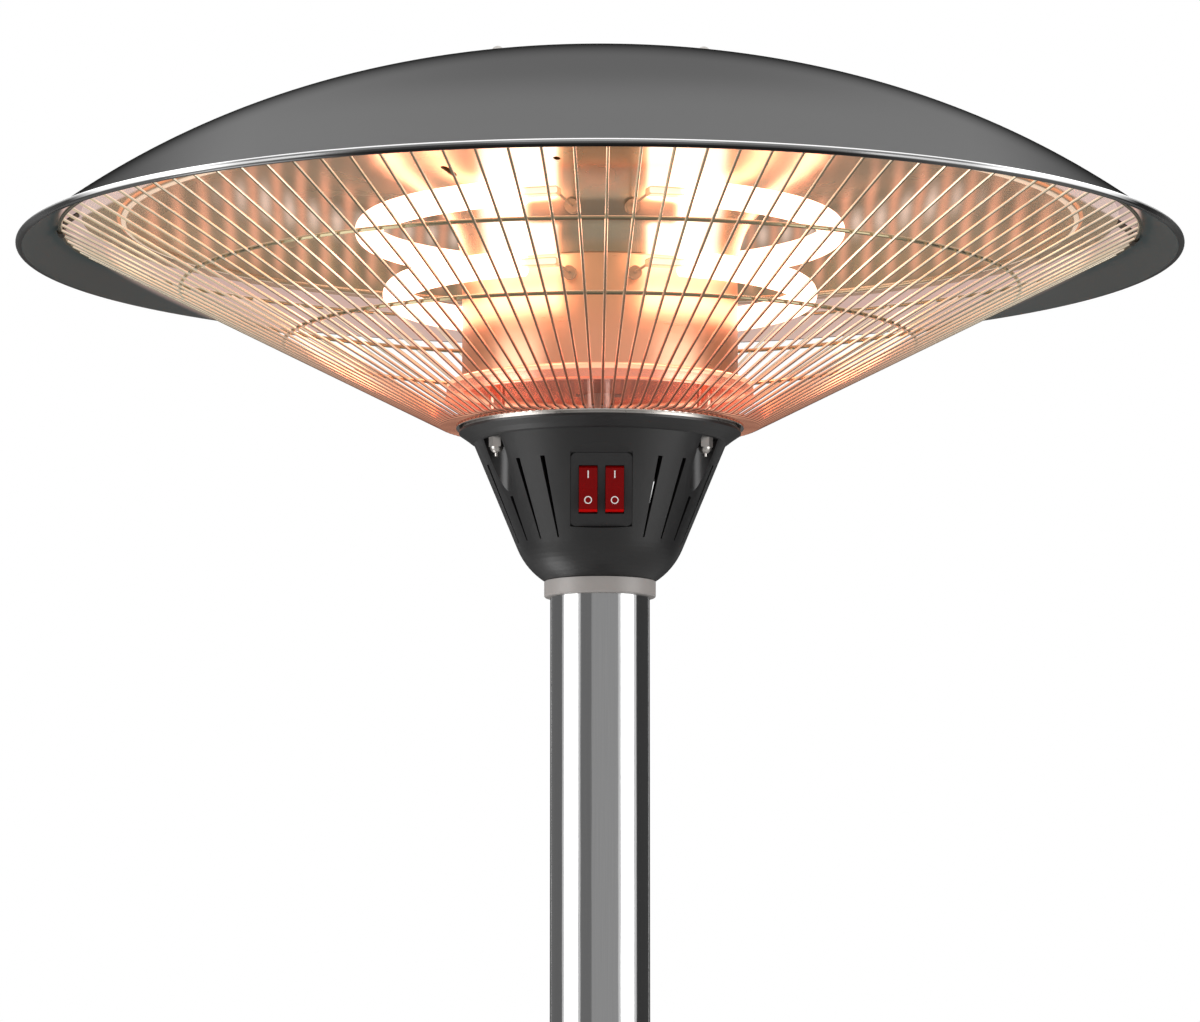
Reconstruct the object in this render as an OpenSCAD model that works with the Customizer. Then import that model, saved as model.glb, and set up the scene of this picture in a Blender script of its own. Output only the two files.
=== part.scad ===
// Free-standing electric patio heater: a spun hood over two ring lamps, a wire guard, a bell
// housing with two rocker switches, a round pole in two lengths and a weighted round base.
// Millimetres, +Z up. The origin is on the floor under the pole's axis. The front faces -Y.

/* [Hood] */
// Outer diameter over the rolled edge
hood_d = 600; // [580:2:640]
// Rise of the dome above its rolled edge
hood_rise = 100.8; // [92:0.2:130]
// Share of the rise that falls away near the edge
hood_bow = 0.21; // [0:0.01:0.4]
// Sheet thickness of the hood
hood_t = 1; // [0.8:0.1:1.6]
// Diameter of the rolled edge
hood_bead_d = 4.7; // [3.6:0.1:6]

/* [Guard] */
// Diameter of the guard's top ring, on the wire's centreline
guard_d = 555; // [545:1:560]
// Height of the top ring above the hood's edge
guard_top_h = 12; // [9:0.2:12.4]
// Diameter where the guard's wires bend inward over the housing
guard_neck_d = 163; // [160:1:170]
// Diameter of the circle of the wires' inner ends
guard_inner_d = 136; // [134:1:140]
// Radius of the bend at the foot of each wire
guard_bend_r = 6; // [4:0.5:9]
// Wire thickness
wire_d = 1.5; // [1.2:0.1:2]
// Number of wires
wire_count = 108; // [72:4:120]
// Wire thickness of the guard's rings
ring_wire_d = 2.2; // [1.8:0.1:2.6]
// Diameter of the upper middle ring
upper_ring_d = 433; // [400:1:460]
// Diameter of the lower middle ring
lower_ring_d = 326; // [290:1:350]
// Outer diameter of the bright clamp ring under the wires
clamp_ring_d = 148; // [146:1:154]
// Thickness of the clamp ring
clamp_ring_t = 1; // [0.8:0.1:1.5]
// Number of clips that hold the top ring to the hood
clip_count = 4; // [3:1:8]
// Width of a guard clip
clip_w = 12; // [8:1:16]
// Thickness of a guard clip
clip_t = 0.8; // [0.6:0.1:1]

/* [Reflector] */
// Outer diameter of the lamp drum and the reflector's neck
drum_d = 142; // [140:1:146]
// Sheet thickness of the drum, pan and reflector
reflector_t = 0.8; // [0.6:0.1:1.2]
// Depth of the drum's top below the hood's edge
drum_top_depth = 9.5; // [6:0.5:14]
// Radius of the neck's flare
neck_flare_r = 45; // [38:1:50]
// Radius of the reflector's trough in section
trough_r = 154.5; // [145:0.5:160]
// Slope of the trough where the flare meets it
flare_slope = 20; // [16:1:24]
// Slope of the trough at its outer edge
edge_slope = 35; // [30:1:38]
// Width of the reflector's outer flange
reflector_flange_w = 20; // [12:1:22]
// Diameter of the bead at the trough's edge
reflector_bead_d = 5; // [3:0.5:6]
// Depth of the lamp pan below the hood's edge
pan_drop = 66; // [62:1:68]
// Outer diameter of the lamp pan
pan_d = 158; // [150:1:160]
// Depth of the pan's skirt
pan_skirt_h = 9; // [6:0.5:12]

/* [Lamps] */
// Diameter of the lamps' glass tubes
lamp_tube_d = 13; // [10:0.5:14]
// Wall of the glass tubes
lamp_glass_t = 1; // [0.8:0.1:1.5]
// Diameter of the upper lamp on the tube's centreline
upper_lamp_d = 240; // [230:1:250]
// Height of the upper lamp above the hood's edge
upper_lamp_h = 14; // [8:0.5:18]
// Diameter of the lower lamp on the tube's centreline
lower_lamp_d = 211; // [200:1:220]
// Depth of the lower lamp below the hood's edge
lower_lamp_depth = 19; // [16:0.5:24]
// Width of the gap between the two ends of a lamp's glass tube
lamp_gap = 78; // [70:1:90]
// Length of the flat pinched end of a lamp
pinch_len = 18; // [12:0.5:20]
// Width of a pinched end
pinch_w = 9; // [6:0.5:10]
// Thickness of a pinched end
pinch_t = 4; // [3:0.5:5]
// Thickness of the glowing coil inside a lamp
filament_d = 3; // [2:0.5:4]

/* [Ties] */
// Diameter of the three studs that tie the head together
stud_d = 4; // [3:0.5:5]
// Diameter of the circle on which the studs stand
stud_circle_d = 122; // [120:1:124]
// Outer diameter of the sleeves round the studs
sleeve_d = 8; // [7:0.5:9]
// Width across the flats of the cap nuts
cap_nut_af = 7; // [6.5:0.5:8]
// Height of the six-sided part of the housing's cap nuts
cap_nut_hex_h = 5; // [4:0.5:5.5]
// Height of the six-sided part of the hood's low cap nuts
low_nut_hex_h = 3.2; // [3:0.1:4]
// Diameter of the dome of a cap nut
cap_nut_dome_d = 6.8; // [6:0.2:7]
// Thickness of the pin at the tip of the housing's cap nuts
cap_nut_tip_d = 2.2; // [1.6:0.2:2.6]
// Outer diameter of the washers
washer_d = 10; // [9:0.5:12]
// Thickness of the washers
washer_t = 0.8; // [0.5:0.1:1]

/* [Housing] */
// Height of the bell housing, floor to lip
bell_h = 77.5; // [76:0.5:90]
// Height from the housing's top to the hood's edge
head_rise = 90; // [87:0.5:96]
// Diameter of the housing's top lip
bell_lip_d = 145; // [142:0.5:148]
// Height of the lip
bell_lip_h = 1.3; // [1:0.1:2]
// Diameter of the top of the plain band under the lip
band_top_d = 138; // [136:0.2:140]
// Diameter of the foot of the plain band
band_foot_d = 132.6; // [132:0.2:134]
// Diameter of the cone's top, inside the small step under the band
cone_top_d = 129.8; // [127:0.2:131]
// Height of the band and lip above the cone
band_h = 6.5; // [6:0.5:8]
// Lean of the cone from the vertical
cone_lean = 22.6; // [20:0.1:24]
// Radius of the rounding at the foot of the bell, in section
bell_round_r = 36; // [30:1:40]
// Angle at which the rounding meets the floor
bell_round_end = 58; // [50:1:70]
// Wall of the housing
bell_wall = 2.5; // [2:0.1:3]
// Thickness of the housing's floor
bell_floor_t = 3; // [2.5:0.5:4]
// Radius of the three scooped nut pockets
pocket_r = 8.6; // [8:0.1:10]
// Thickness of the roof of a nut pocket
pocket_roof_t = 7; // [6:0.5:8]
// Width of a vent slot at its top
slot_w = 2.6; // [1.6:0.1:3]
// Length of the long vent slots along the slope
slot_len = 43; // [36:1:45]
// Length of the short vent slots along the slope
short_slot_len = 24; // [16:1:26]
// Angle between neighbouring vent slots
slot_pitch = 15; // [12:1:18]

/* [Switches] */
// Width of the switch plate
plate_w = 31; // [30:0.5:33]
// Height of the switch plate along the slope
plate_h = 38.4; // [37:0.2:41]
// Thickness of the switch plate
plate_t = 2; // [1.5:0.1:2.5]
// Corner radius of the switch plate
plate_corner_r = 3; // [2:0.5:4]
// Depth of the plate's face under the cone's surface
plate_depth = 2.3; // [2.1:0.1:3]
// Depth of the switch plate's centre below the housing's top
plate_drop = 37; // [36.4:0.2:39]
// Distance between the two rockers
rocker_pitch = 13.4; // [13.2:0.1:14]
// Width of a rocker
rocker_w = 9.2; // [8.8:0.1:9.6]
// Height of a rocker where it passes the plate's face
rocker_h = 23.6; // [23:0.2:25]
// Depth of the rockers' pivot behind the plate's face
pivot_depth = 4.5; // [4.2:0.1:5]
// How far the middle of a rocker stands proud of the plate
rocker_proud = 1.9; // [1.5:0.1:2.5]
// Angle of each half of a rocker's dished face
rocker_dish = 4; // [2:0.5:6]
// Swing of a rocker each way from its middle position
rocker_swing = 10; // [8:0.5:12]
// Diameter of the rocker's pivot pins
pivot_d = 2.4; // [2:0.1:2.6]
// Depth of the switch bodies behind the plate
switch_depth = 17; // [16:0.5:18]
// Wall of the switch bodies
switch_wall = 1.2; // [1:0.1:1.3]

/* [Pole] */
// Outer diameter of the pole
pole_d = 51; // [48:0.5:53]
// Wall of the pole
pole_wall = 1.2; // [1:0.1:2]
// Length of the upper pole
upper_pole_len = 930; // [600:10:1000]
// Length of the lower pole
lower_pole_len = 900; // [600:10:1000]
// Length of the sleeve that joins the poles
coupler_len = 160; // [120:5:200]
// Wall of the inner sleeves and sockets
sleeve_wall = 1.5; // [1.2:0.1:2.5]
// Outer diameter of the grey collars at the ends of the pole
collar_d = 57.2; // [56.8:0.2:58]
// Height of the grey collars
collar_h = 8.2; // [7:0.2:12]
// Depth of the housing's socket for the pole
pole_socket_h = 28; // [24:0.5:29]
// Wall of the housing's socket
pole_socket_wall = 3; // [2.5:0.5:4]
// Diameter of the pole's fixing screws
pole_screw_d = 5; // [4:0.5:6]

/* [Base] */
// Diameter of the base
base_d = 480; // [440:5:520]
// Height of the base cover's top above the floor
base_h = 58; // [56:1:80]
// Height of the upright rim of the base cover
base_rim_h = 16; // [14:1:18]
// Wall of the base cover
base_wall = 2.5; // [2:0.5:4]
// Height of the rubber feet under the base
foot_h = 8; // [6:0.5:12]
// Diameter of the rubber feet
foot_d = 34; // [24:1:40]
// Number of rubber feet
foot_count = 6; // [4:1:8]
// Thickness of the plate that closes the base below
bottom_plate_t = 1.5; // [1:0.1:2]
// Diameter of the cast weight
weight_d = 410; // [380:5:420]
// Thickness of the cast weight
weight_h = 12; // [10:1:16]
// Height of the raised rim round the weight
weight_rim_h = 6; // [4:1:8]
// Diameter of the flange that carries the pole
flange_d = 130; // [120:2:150]
// Thickness of the flange
flange_t = 4; // [3:0.5:6]
// Height of the flange's socket inside the pole
socket_h = 90; // [60:5:120]
// Diameter of the circle of the flange's bolts
bolt_circle_d = 98; // [90:1:104]
// Diameter of the flange's bolts
bolt_d = 8; // [6:1:10]
// Number of bolts in the flange
bolt_count = 4; // [3:1:6]

/* [Fits] */
// Running clearance round the pivots, on the radius
pivot_gap = 0.05; // [0.03:0.01:0.1]
// Clearance round studs, bolts and screws, on the radius
hole_gap = 0.2; // [0.1:0.05:0.4]
// Sliding clearance between the pole and its sleeves, on the radius
slide_gap = 0.1; // [0.05:0.05:0.3]
// Clearance round the rockers and between set-in pieces
fit_gap = 0.2; // [0.1:0.05:0.3]
// Gap left where curved pieces rest on each other
seat_gap = 0.05; // [0.02:0.01:0.1]

/* [Hidden] */
$fn = 96;
fine = 24;
cut = 0.01;

// Heights of the base and pole, from the floor up
bottom_plate_z = foot_h;
weight_z = bottom_plate_z + bottom_plate_t;
flange_z = weight_z + weight_h;
pole_z = flange_z + flange_t;
joint_z = pole_z + lower_pole_len;
bell_z = joint_z + upper_pole_len - pole_socket_h;

// Heights of the head
bell_top_z = bell_z + bell_h;
rim_z = bell_top_z + head_rise;
head_plate_t = 1.2;
clamp_z = bell_top_z + head_plate_t;
clamp_top_z = clamp_z + clamp_ring_t;
drum_top_z = rim_z - drum_top_depth;
pan_z = rim_z - pan_drop;
neck_flange_z = drum_top_z + reflector_t;
reflector_base_z = neck_flange_z + reflector_t;

// Radii used by several pieces
hood_r = hood_d / 2;
pole_r = pole_d / 2;
pole_bore_r = pole_r - pole_wall;
sleeve_r = pole_bore_r - slide_gap;
stud_ring_r = stud_circle_d / 2;
stud_azimuths = [60, 180, -60];
pole_screw_azimuths = [90, -90];
clamp_screw_azimuths = [60, 180, -60];

// Sizes of common hardware that follow from their screws
nut_round = 1.1547;
lead_d = 1.4;

// The places of a list of points along an arc: centre, radius, first and last angle, steps
function arc(x, y, r, a, b, steps) =
    [for (i = [0:steps]) [x + r * cos(a + (b - a) * i / steps), y + r * sin(a + (b - a) * i / steps)]];

function reversed(points) = [for (i = [len(points) - 1:-1:0]) points[i]];

// Outer surface of the hood: its height and its fall per millimetre of radius
function hood_z(r) =
    rim_z + hood_rise * (1 - (1 - hood_bow) * pow(r / hood_r, 2) - hood_bow * pow(r / hood_r, 4));
function hood_fall(r) =
    hood_rise / hood_r * (2 * (1 - hood_bow) * (r / hood_r) + 4 * hood_bow * pow(r / hood_r, 3));
function hood_inner_z(r) = hood_z(r) - hood_t * sqrt(1 + pow(hood_fall(r), 2));

// The housing's cone, by height
cone_top_z = bell_top_z - band_h;
function cone_r(z) = cone_top_d / 2 - (cone_top_z - z) * tan(cone_lean);
bell_round_z = bell_z + bell_round_r * sin(bell_round_end);
cone_foot_z = bell_round_z - bell_round_r * sin(cone_lean);
bell_round_x = cone_r(cone_foot_z) - bell_round_r * cos(cone_lean);
bell_mouth_r = cone_top_d / 2 - bell_wall;
band_step_h = 0.7;
band_top_rise = 2.8;

// Places a piece that is drawn facing the front (-Y) at an angle round the axis, counted to the right
module at_azimuth(a) {
    rotate([0, 0, a]) children();
}

// Places upright pieces, drawn on the axis, at the three studs
module at_studs(z) {
    for (a = stud_azimuths)
        rotate([0, 0, a]) translate([0, -stud_ring_r, z]) children();
}

module tube(outer_r, inner_r, h) {
    difference() {
        cylinder(r = outer_r, h = h);
        translate([0, 0, -1]) cylinder(r = inner_r, h = h + 2);
    }
}

module hex(af, h) {
    cylinder(d = af * nut_round, h = h, $fn = 6);
}

// A cap nut with its seat at the origin and its dome up, bored for its stud
module cap_nut(hex_h) {
    dome_r = cap_nut_dome_d / 2;
    difference() {
        union() {
            hex(cap_nut_af, hex_h);
            intersection() {
                translate([0, 0, hex_h]) sphere(r = dome_r, $fn = fine);
                translate([0, 0, hex_h - cut]) cylinder(r = dome_r + 1, h = dome_r + 1, $fn = fine);
            }
        }
        translate([0, 0, -1]) cylinder(r = stud_d / 2 + seat_gap, h = hex_h + 2, $fn = fine);
    }
}

// Hood

module hood() {
    steps = 22;
    bead_r = hood_bead_d / 2;
    shell_r = hood_r - bead_r * 1.3;
    outer = [for (i = [0:steps]) [shell_r * i / steps, hood_z(shell_r * i / steps)]];
    inner = [for (i = [steps:-1:0]) [shell_r * i / steps, hood_inner_z(shell_r * i / steps)]];
    color("dimgray")
    difference() {
        union() {
            rotate_extrude() polygon(concat(outer, inner));
            rotate_extrude() translate([hood_r - bead_r, rim_z + bead_r]) circle(r = bead_r, $fn = fine);
        }
        at_studs(rim_z + hood_rise / 2) cylinder(r = stud_d / 2 + hole_gap, h = hood_rise, $fn = fine);
    }
}

stud_hood_z = hood_z(stud_ring_r);

// Lift of the washers, whose uphill edge meets the sloping hood
washer_lift = washer_d / 2 * hood_fall(stud_ring_r) + seat_gap;

module hood_washers() {
    color("silver")
    at_studs(stud_hood_z + washer_lift) difference() {
        cylinder(d = washer_d, h = washer_t, $fn = 32);
        translate([0, 0, -1]) cylinder(r = stud_d / 2 + hole_gap, h = washer_t + 2, $fn = fine);
    }
}

hood_nut_z = stud_hood_z + washer_lift + washer_t;

module hood_acorn_nuts() {
    color("silver")
    at_studs(hood_nut_z) cap_nut(low_nut_hex_h);
}

module hood_spacers() {
    spacer_top_z = hood_inner_z(stud_ring_r + sleeve_d / 2) - seat_gap;
    color("silver")
    at_studs(reflector_base_z)
        tube(sleeve_d / 2, stud_d / 2 + hole_gap, spacer_top_z - reflector_base_z, $fn = fine);
}

// Reflector, drum and pan

drum_r = drum_d / 2;
drum_inner_r = drum_r - reflector_t;
neck_flange_r = 48;
trough_lead_in = 4;

// Holes in the reflector's neck: angle from the front and distance from the axis
round_hole_d = 4;
round_hole_at = [-13.8, 96];
oblong_hole_w = 5;
oblong_hole_run = 4;
oblong_hole_at = [-52.8, 97];

// Section of the reflector's lower face: neck, flare, trough and flange
flare_x = drum_r + neck_flare_r;
flare_z = neck_flange_z + 3;
flare_end = [flare_x - neck_flare_r * sin(flare_slope), flare_z + neck_flare_r * cos(flare_slope)];
trough_x = flare_end[0] + trough_r * sin(flare_slope);
trough_z = flare_end[1] - trough_r * cos(flare_slope);
trough_edge = [trough_x + trough_r * sin(edge_slope), trough_z + trough_r * cos(edge_slope)];
bead_x = trough_edge[0] + reflector_bead_d / 2;
bead_z = trough_edge[1];
flange_edge_r = bead_x + reflector_flange_w;

module reflector_dish() {
    t = reflector_t;
    lower = concat(
        [[drum_r - t, neck_flange_z], [drum_r, neck_flange_z]],
        arc(flare_x, flare_z, neck_flare_r, 180, 90 + flare_slope, 10),
        arc(trough_x, trough_z, trough_r, 90 + flare_slope - trough_lead_in, 90 - edge_slope, 12)
    );
    upper = concat(
        [[drum_r - t, neck_flange_z + t]],
        arc(flare_x, flare_z, neck_flare_r + t, 180, 90 + flare_slope, 10),
        arc(trough_x, trough_z, trough_r + t, 90 + flare_slope - trough_lead_in, 90 - edge_slope, 12)
    );
    color("burlywood")
    difference() {
        rotate_extrude() {
            translate([neck_flange_r, neck_flange_z]) square([drum_r - neck_flange_r - t / 2, t]);
            polygon(concat(lower, reversed(upper)));
            translate([bead_x, bead_z]) difference() {
                circle(d = reflector_bead_d, $fn = fine);
                circle(d = reflector_bead_d - 2 * t, $fn = fine);
            }
            translate([bead_x + reflector_bead_d / 2 - t / 2, bead_z]) square([reflector_flange_w, t]);
        }
        at_studs(neck_flange_z - 1) cylinder(r = stud_d / 2 + hole_gap, h = reflector_t + 2, $fn = fine);
        at_azimuth(round_hole_at[0]) translate([0, -round_hole_at[1], rim_z])
            cylinder(d = round_hole_d, h = hood_rise, $fn = fine);
        at_azimuth(oblong_hole_at[0]) translate([0, -oblong_hole_at[1], rim_z]) {
            for (y = [-oblong_hole_run / 2, oblong_hole_run / 2])
                translate([0, y, 0]) cylinder(d = oblong_hole_w, h = hood_rise, $fn = fine);
            translate([-oblong_hole_w / 2, -oblong_hole_run / 2, 0])
                cube([oblong_hole_w, oblong_hole_run, hood_rise]);
        }
        for (side = [-1, 1])
            lead_line(upper_lamp_d, upper_lamp_z, side)
                cylinder(r = bush_r + seat_gap, h = 60, $fn = fine);
    }
}

module lamp_drum() {
    color("chocolate")
    difference() {
        union() {
            translate([0, 0, pan_z + reflector_t]) tube(drum_r, drum_inner_r, drum_top_z - pan_z - reflector_t);
            translate([0, 0, drum_top_z - cut]) cylinder(r = drum_r, h = reflector_t + cut);
        }
        at_studs(drum_top_z - 1) cylinder(r = stud_d / 2 + hole_gap, h = 3, $fn = fine);
        translate([0, 0, drum_top_z - 1]) cylinder(d = 30, h = 3);
        for (side = [-1, 1])
            lead_line(lower_lamp_d, lower_lamp_z, side)
                cylinder(r = bush_r + seat_gap, h = 60, $fn = fine);
    }
}

module drum_spacers() {
    spacer_z = pan_z + reflector_t + seat_gap;
    color("silver")
    at_studs(spacer_z) tube(sleeve_d / 2, stud_d / 2 + hole_gap, drum_top_z - seat_gap - spacer_z, $fn = fine);
}

// The lamps' leads pass through a hole at the rear of the pan
pan_hole_d = 14;
pan_hole_azimuth = 150;

module lamp_pan() {
    pan_r = pan_d / 2;
    skirt_foot_z = pan_z + reflector_t - pan_skirt_h;
    color("sandybrown")
    difference() {
        union() {
            translate([0, 0, pan_z]) cylinder(r = pan_r, h = reflector_t);
            translate([0, 0, skirt_foot_z]) tube(pan_r, pan_r - reflector_t, pan_skirt_h);
            translate([0, 0, skirt_foot_z]) tube(pan_r + 1, pan_r - reflector_t, reflector_t);
        }
        at_studs(pan_z - 1) cylinder(r = stud_d / 2 + hole_gap, h = 3, $fn = fine);
        at_azimuth(pan_hole_azimuth) translate([0, -stud_ring_r + pan_hole_d, pan_z - 1])
            cylinder(d = pan_hole_d, h = 3, $fn = 32);
    }
}

module pan_standoffs() {
    color("silver")
    at_studs(clamp_top_z) tube(sleeve_d / 2, stud_d / 2 + hole_gap, pan_z - clamp_top_z, $fn = fine);
}

pocket_roof_z = bell_top_z - pocket_roof_t;

module tie_studs() {
    foot_z = pocket_roof_z - cap_nut_hex_h;
    top_z = hood_nut_z + low_nut_hex_h;
    color("silver")
    at_studs(foot_z) cylinder(r = stud_d / 2, h = top_z - foot_z, $fn = fine);
}

// Lamps

lamp_r = lamp_tube_d / 2;
upper_lamp_z = rim_z + upper_lamp_h;
lower_lamp_z = rim_z - lower_lamp_depth;
bush_r = 3.5;
bush_len = 7;

// Angle from the front at which a lamp's glass tube ends
function lamp_end(d) = asin(lamp_gap / d);
// Angle from the front at which a lead leaves the pinched end, near its tip
function lead_azimuth(d) = lamp_end(d) - asin(2 * (pinch_len - 2) / d);

// A line from a lamp's pinched tip straight in towards the axis, as a frame whose +Z runs inward
module lead_line(d, z, side) {
    at_azimuth(side * lead_azimuth(d))
        translate([0, -d / 2, z]) rotate([-90, 0, 0]) children();
}

module ring_lamp(d, z) {
    end = lamp_end(d);
    translate([0, 0, z]) {
        difference() {
            rotate([0, 0, end - 90]) rotate_extrude(angle = 360 - 2 * end)
                translate([d / 2, 0]) circle(r = lamp_r, $fn = 32);
            rotate([0, 0, end - 88]) rotate_extrude(angle = 356 - 2 * end)
                translate([d / 2, 0]) circle(r = lamp_r - lamp_glass_t, $fn = 32);
        }
        for (side = [-1, 1])
            rotate([0, 0, side * end]) translate([0, -d / 2, 0]) rotate([0, 0, -side * 4])
                translate([side > 0 ? -pinch_len : -2, -pinch_w / 2, -pinch_t / 2])
                    cube([pinch_len + 2, pinch_w, pinch_t]);
    }
}

module upper_lamp_glass() {
    color([1, 0.9, 0.7]) ring_lamp(upper_lamp_d, upper_lamp_z);
}

module lower_lamp_glass() {
    color([1, 0.9, 0.7]) ring_lamp(lower_lamp_d, lower_lamp_z);
}

module filament(d, z) {
    end = lamp_end(d) + 2;
    translate([0, 0, z]) rotate([0, 0, end - 90]) rotate_extrude(angle = 360 - 2 * end)
        translate([d / 2, 0]) circle(d = filament_d, $fn = fine);
}

module lamp_filaments() {
    color("orange") {
        filament(upper_lamp_d, upper_lamp_z);
        filament(lower_lamp_d, lower_lamp_z);
    }
}

// Distance along a lead line from the lamp's centreline to the sheet that its bush sits in
function neck_r(z) = z <= flare_z ? drum_r : flare_x - sqrt(pow(neck_flare_r, 2) - pow(z - flare_z, 2));
upper_bush_s = upper_lamp_d / 2 - neck_r(upper_lamp_z) - bush_len / 2;
lower_bush_s = lower_lamp_d / 2 - drum_r - bush_len / 2;

module lead(d, z, side, bush_s) {
    start = pinch_w / 2 + fit_gap;
    lead_line(d, z, side) translate([0, 0, start])
        cylinder(d = lead_d, h = bush_s + bush_len + 4 - start, $fn = fine);
}

module lamp_leads() {
    color("silver")
    for (side = [-1, 1]) {
        lead(upper_lamp_d, upper_lamp_z, side, upper_bush_s);
        lead(lower_lamp_d, lower_lamp_z, side, lower_bush_s);
    }
}

module lead_bush(d, z, side, bush_s) {
    lead_line(d, z, side) translate([0, 0, bush_s])
        tube(bush_r, lead_d / 2 + seat_gap, bush_len, $fn = fine);
}

module lead_bushes() {
    color("ivory")
    for (side = [-1, 1]) {
        lead_bush(upper_lamp_d, upper_lamp_z, side, upper_bush_s);
        lead_bush(lower_lamp_d, lower_lamp_z, side, lower_bush_s);
    }
}

saddle_t = 1.2;
bracket_w = 8;

// Half ring that cradles a lamp's tube from below, in section
module saddle(r, z) {
    translate([r, z]) difference() {
        circle(r = lamp_r + saddle_t, $fn = 32);
        circle(r = lamp_r + slide_gap, $fn = 32);
        translate([-20, 0]) square([40, 20]);
    }
}

// Strip bracket behind the drum that carries both lamps
module lamp_rear_bracket() {
    arm_z = lower_lamp_z - lamp_r - saddle_t;
    upright_x = upper_lamp_d / 2;
    upright_foot = arm_z - saddle_t / 2;
    color("silver")
    rotate([0, 0, 90]) rotate([90, 0, 0]) translate([0, 0, -bracket_w / 2]) linear_extrude(bracket_w) {
        translate([drum_r + seat_gap, arm_z - 14]) square([saddle_t, 14 + saddle_t / 2]);
        translate([drum_r + seat_gap, upright_foot])
            square([upright_x + saddle_t / 2 - drum_r - seat_gap, saddle_t]);
        translate([upright_x - saddle_t / 2, upright_foot])
            square([saddle_t, upper_lamp_z - lamp_r - saddle_t / 2 - upright_foot]);
        saddle(lower_lamp_d / 2, lower_lamp_z);
        saddle(upper_lamp_d / 2, upper_lamp_z);
    }
}

// Guard

wire_r = wire_d / 2;
bend_wire_r = wire_r * 1.04;
bend_overlap = 0.25;
ring_wire_r = ring_wire_d / 2;
guard_r = guard_d / 2;
guard_neck_r = guard_neck_d / 2;
guard_top_z = rim_z + guard_top_h;
guard_foot_z = clamp_top_z + bend_wire_r + seat_gap;
guard_slope = atan((guard_top_z - guard_foot_z) / (guard_r - guard_neck_r));
bend_tangent = guard_bend_r * tan(guard_slope / 2);
bend_x = guard_neck_r - bend_tangent;
wire_run = norm([guard_r - guard_neck_r, guard_top_z - guard_foot_z]);

// One wire of the guard: a flat foot on the clamp ring, a pressed bend that is slightly thicker than
// the wire, and a straight run up to the top ring
module guard_wire() {
    rotate([0, 0, -90]) {
        translate([guard_inner_d / 2, 0, guard_foot_z]) rotate([0, 90, 0])
            cylinder(r = wire_r, h = bend_x - guard_inner_d / 2 + bend_overlap, $fn = 16);
        translate([bend_x, 0, guard_foot_z + guard_bend_r]) rotate([90, 0, 0]) rotate([0, 0, -90])
            rotate_extrude(angle = guard_slope) translate([guard_bend_r, 0]) circle(r = bend_wire_r, $fn = 16);
        translate([
            bend_x + guard_bend_r * sin(guard_slope),
            0,
            guard_foot_z + guard_bend_r * (1 - cos(guard_slope))
        ])
            rotate([0, 90 - guard_slope, 0]) translate([0, 0, -bend_overlap])
                cylinder(
                    r = wire_r,
                    h = wire_run - bend_tangent - ring_wire_r - seat_gap + bend_overlap,
                    $fn = 16
                );
    }
}

module guard_wires() {
    color("gainsboro")
    for (i = [0:wire_count - 1]) at_azimuth(i * 360 / wire_count) guard_wire();
}

module ring_wire(r, z) {
    rotate_extrude() translate([r, z]) circle(r = ring_wire_r, $fn = 16);
}

module guard_top_ring() {
    color("gainsboro") ring_wire(guard_r, guard_top_z);
}

// A middle ring lies on the inner side of the wires' cone
module guard_middle_ring(d) {
    offset_n = wire_r + ring_wire_r + seat_gap;
    line_z = guard_foot_z + (d / 2 - guard_neck_r) * tan(guard_slope);
    ring_wire(d / 2 - offset_n * sin(guard_slope), line_z + offset_n * cos(guard_slope));
}

module guard_middle_rings() {
    color("gainsboro") {
        guard_middle_ring(upper_ring_d);
        guard_middle_ring(lower_ring_d);
    }
}

module guard_clamp_ring() {
    clamp_width = clamp_ring_d / 2 - stud_ring_r + sleeve_d;
    color("white")
    difference() {
        translate([0, 0, clamp_z]) tube(clamp_ring_d / 2, clamp_ring_d / 2 - clamp_width, clamp_ring_t);
        at_studs(clamp_z - 1) cylinder(r = stud_d / 2 + hole_gap, h = clamp_ring_t + 2, $fn = fine);
    }
}

// Spring clips that hug the top ring from below and reach up to the hood's inner face
module guard_clips() {
    sweep = clip_w / guard_r * 180 / PI;
    inner = ring_wire_r + slide_gap;
    leg_x = guard_r - inner;
    tab_len = 7;
    color("silver")
    for (i = [0:clip_count - 1])
        at_azimuth((round(i * wire_count / clip_count) + 0.5) * 360 / wire_count)
            rotate([0, 0, -90 - sweep / 2]) rotate_extrude(angle = sweep) {
                translate([guard_r, guard_top_z]) difference() {
                    circle(r = inner + clip_t, $fn = fine);
                    circle(r = inner, $fn = fine);
                    translate([-10, 0]) square([20, 10]);
                }
                polygon([
                    [leg_x - clip_t, guard_top_z],
                    [leg_x, guard_top_z],
                    [leg_x, hood_inner_z(leg_x) - fit_gap],
                    [leg_x - clip_t - tab_len, hood_inner_z(leg_x - clip_t - tab_len) - fit_gap],
                    [leg_x - clip_t - tab_len, hood_inner_z(leg_x - clip_t - tab_len) - fit_gap - clip_t],
                    [leg_x - clip_t, hood_inner_z(leg_x - clip_t) - fit_gap - clip_t]
                ]);
            }
}

// Housing

module head_plate() {
    color("silver")
    difference() {
        translate([0, 0, bell_top_z]) cylinder(r = bell_lip_d / 2 - 2, h = head_plate_t);
        at_studs(bell_top_z - 1) cylinder(r = stud_d / 2 + hole_gap, h = 4, $fn = fine);
        translate([0, 0, bell_top_z - 1]) cylinder(d = 24, h = 4);
    }
}

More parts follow.
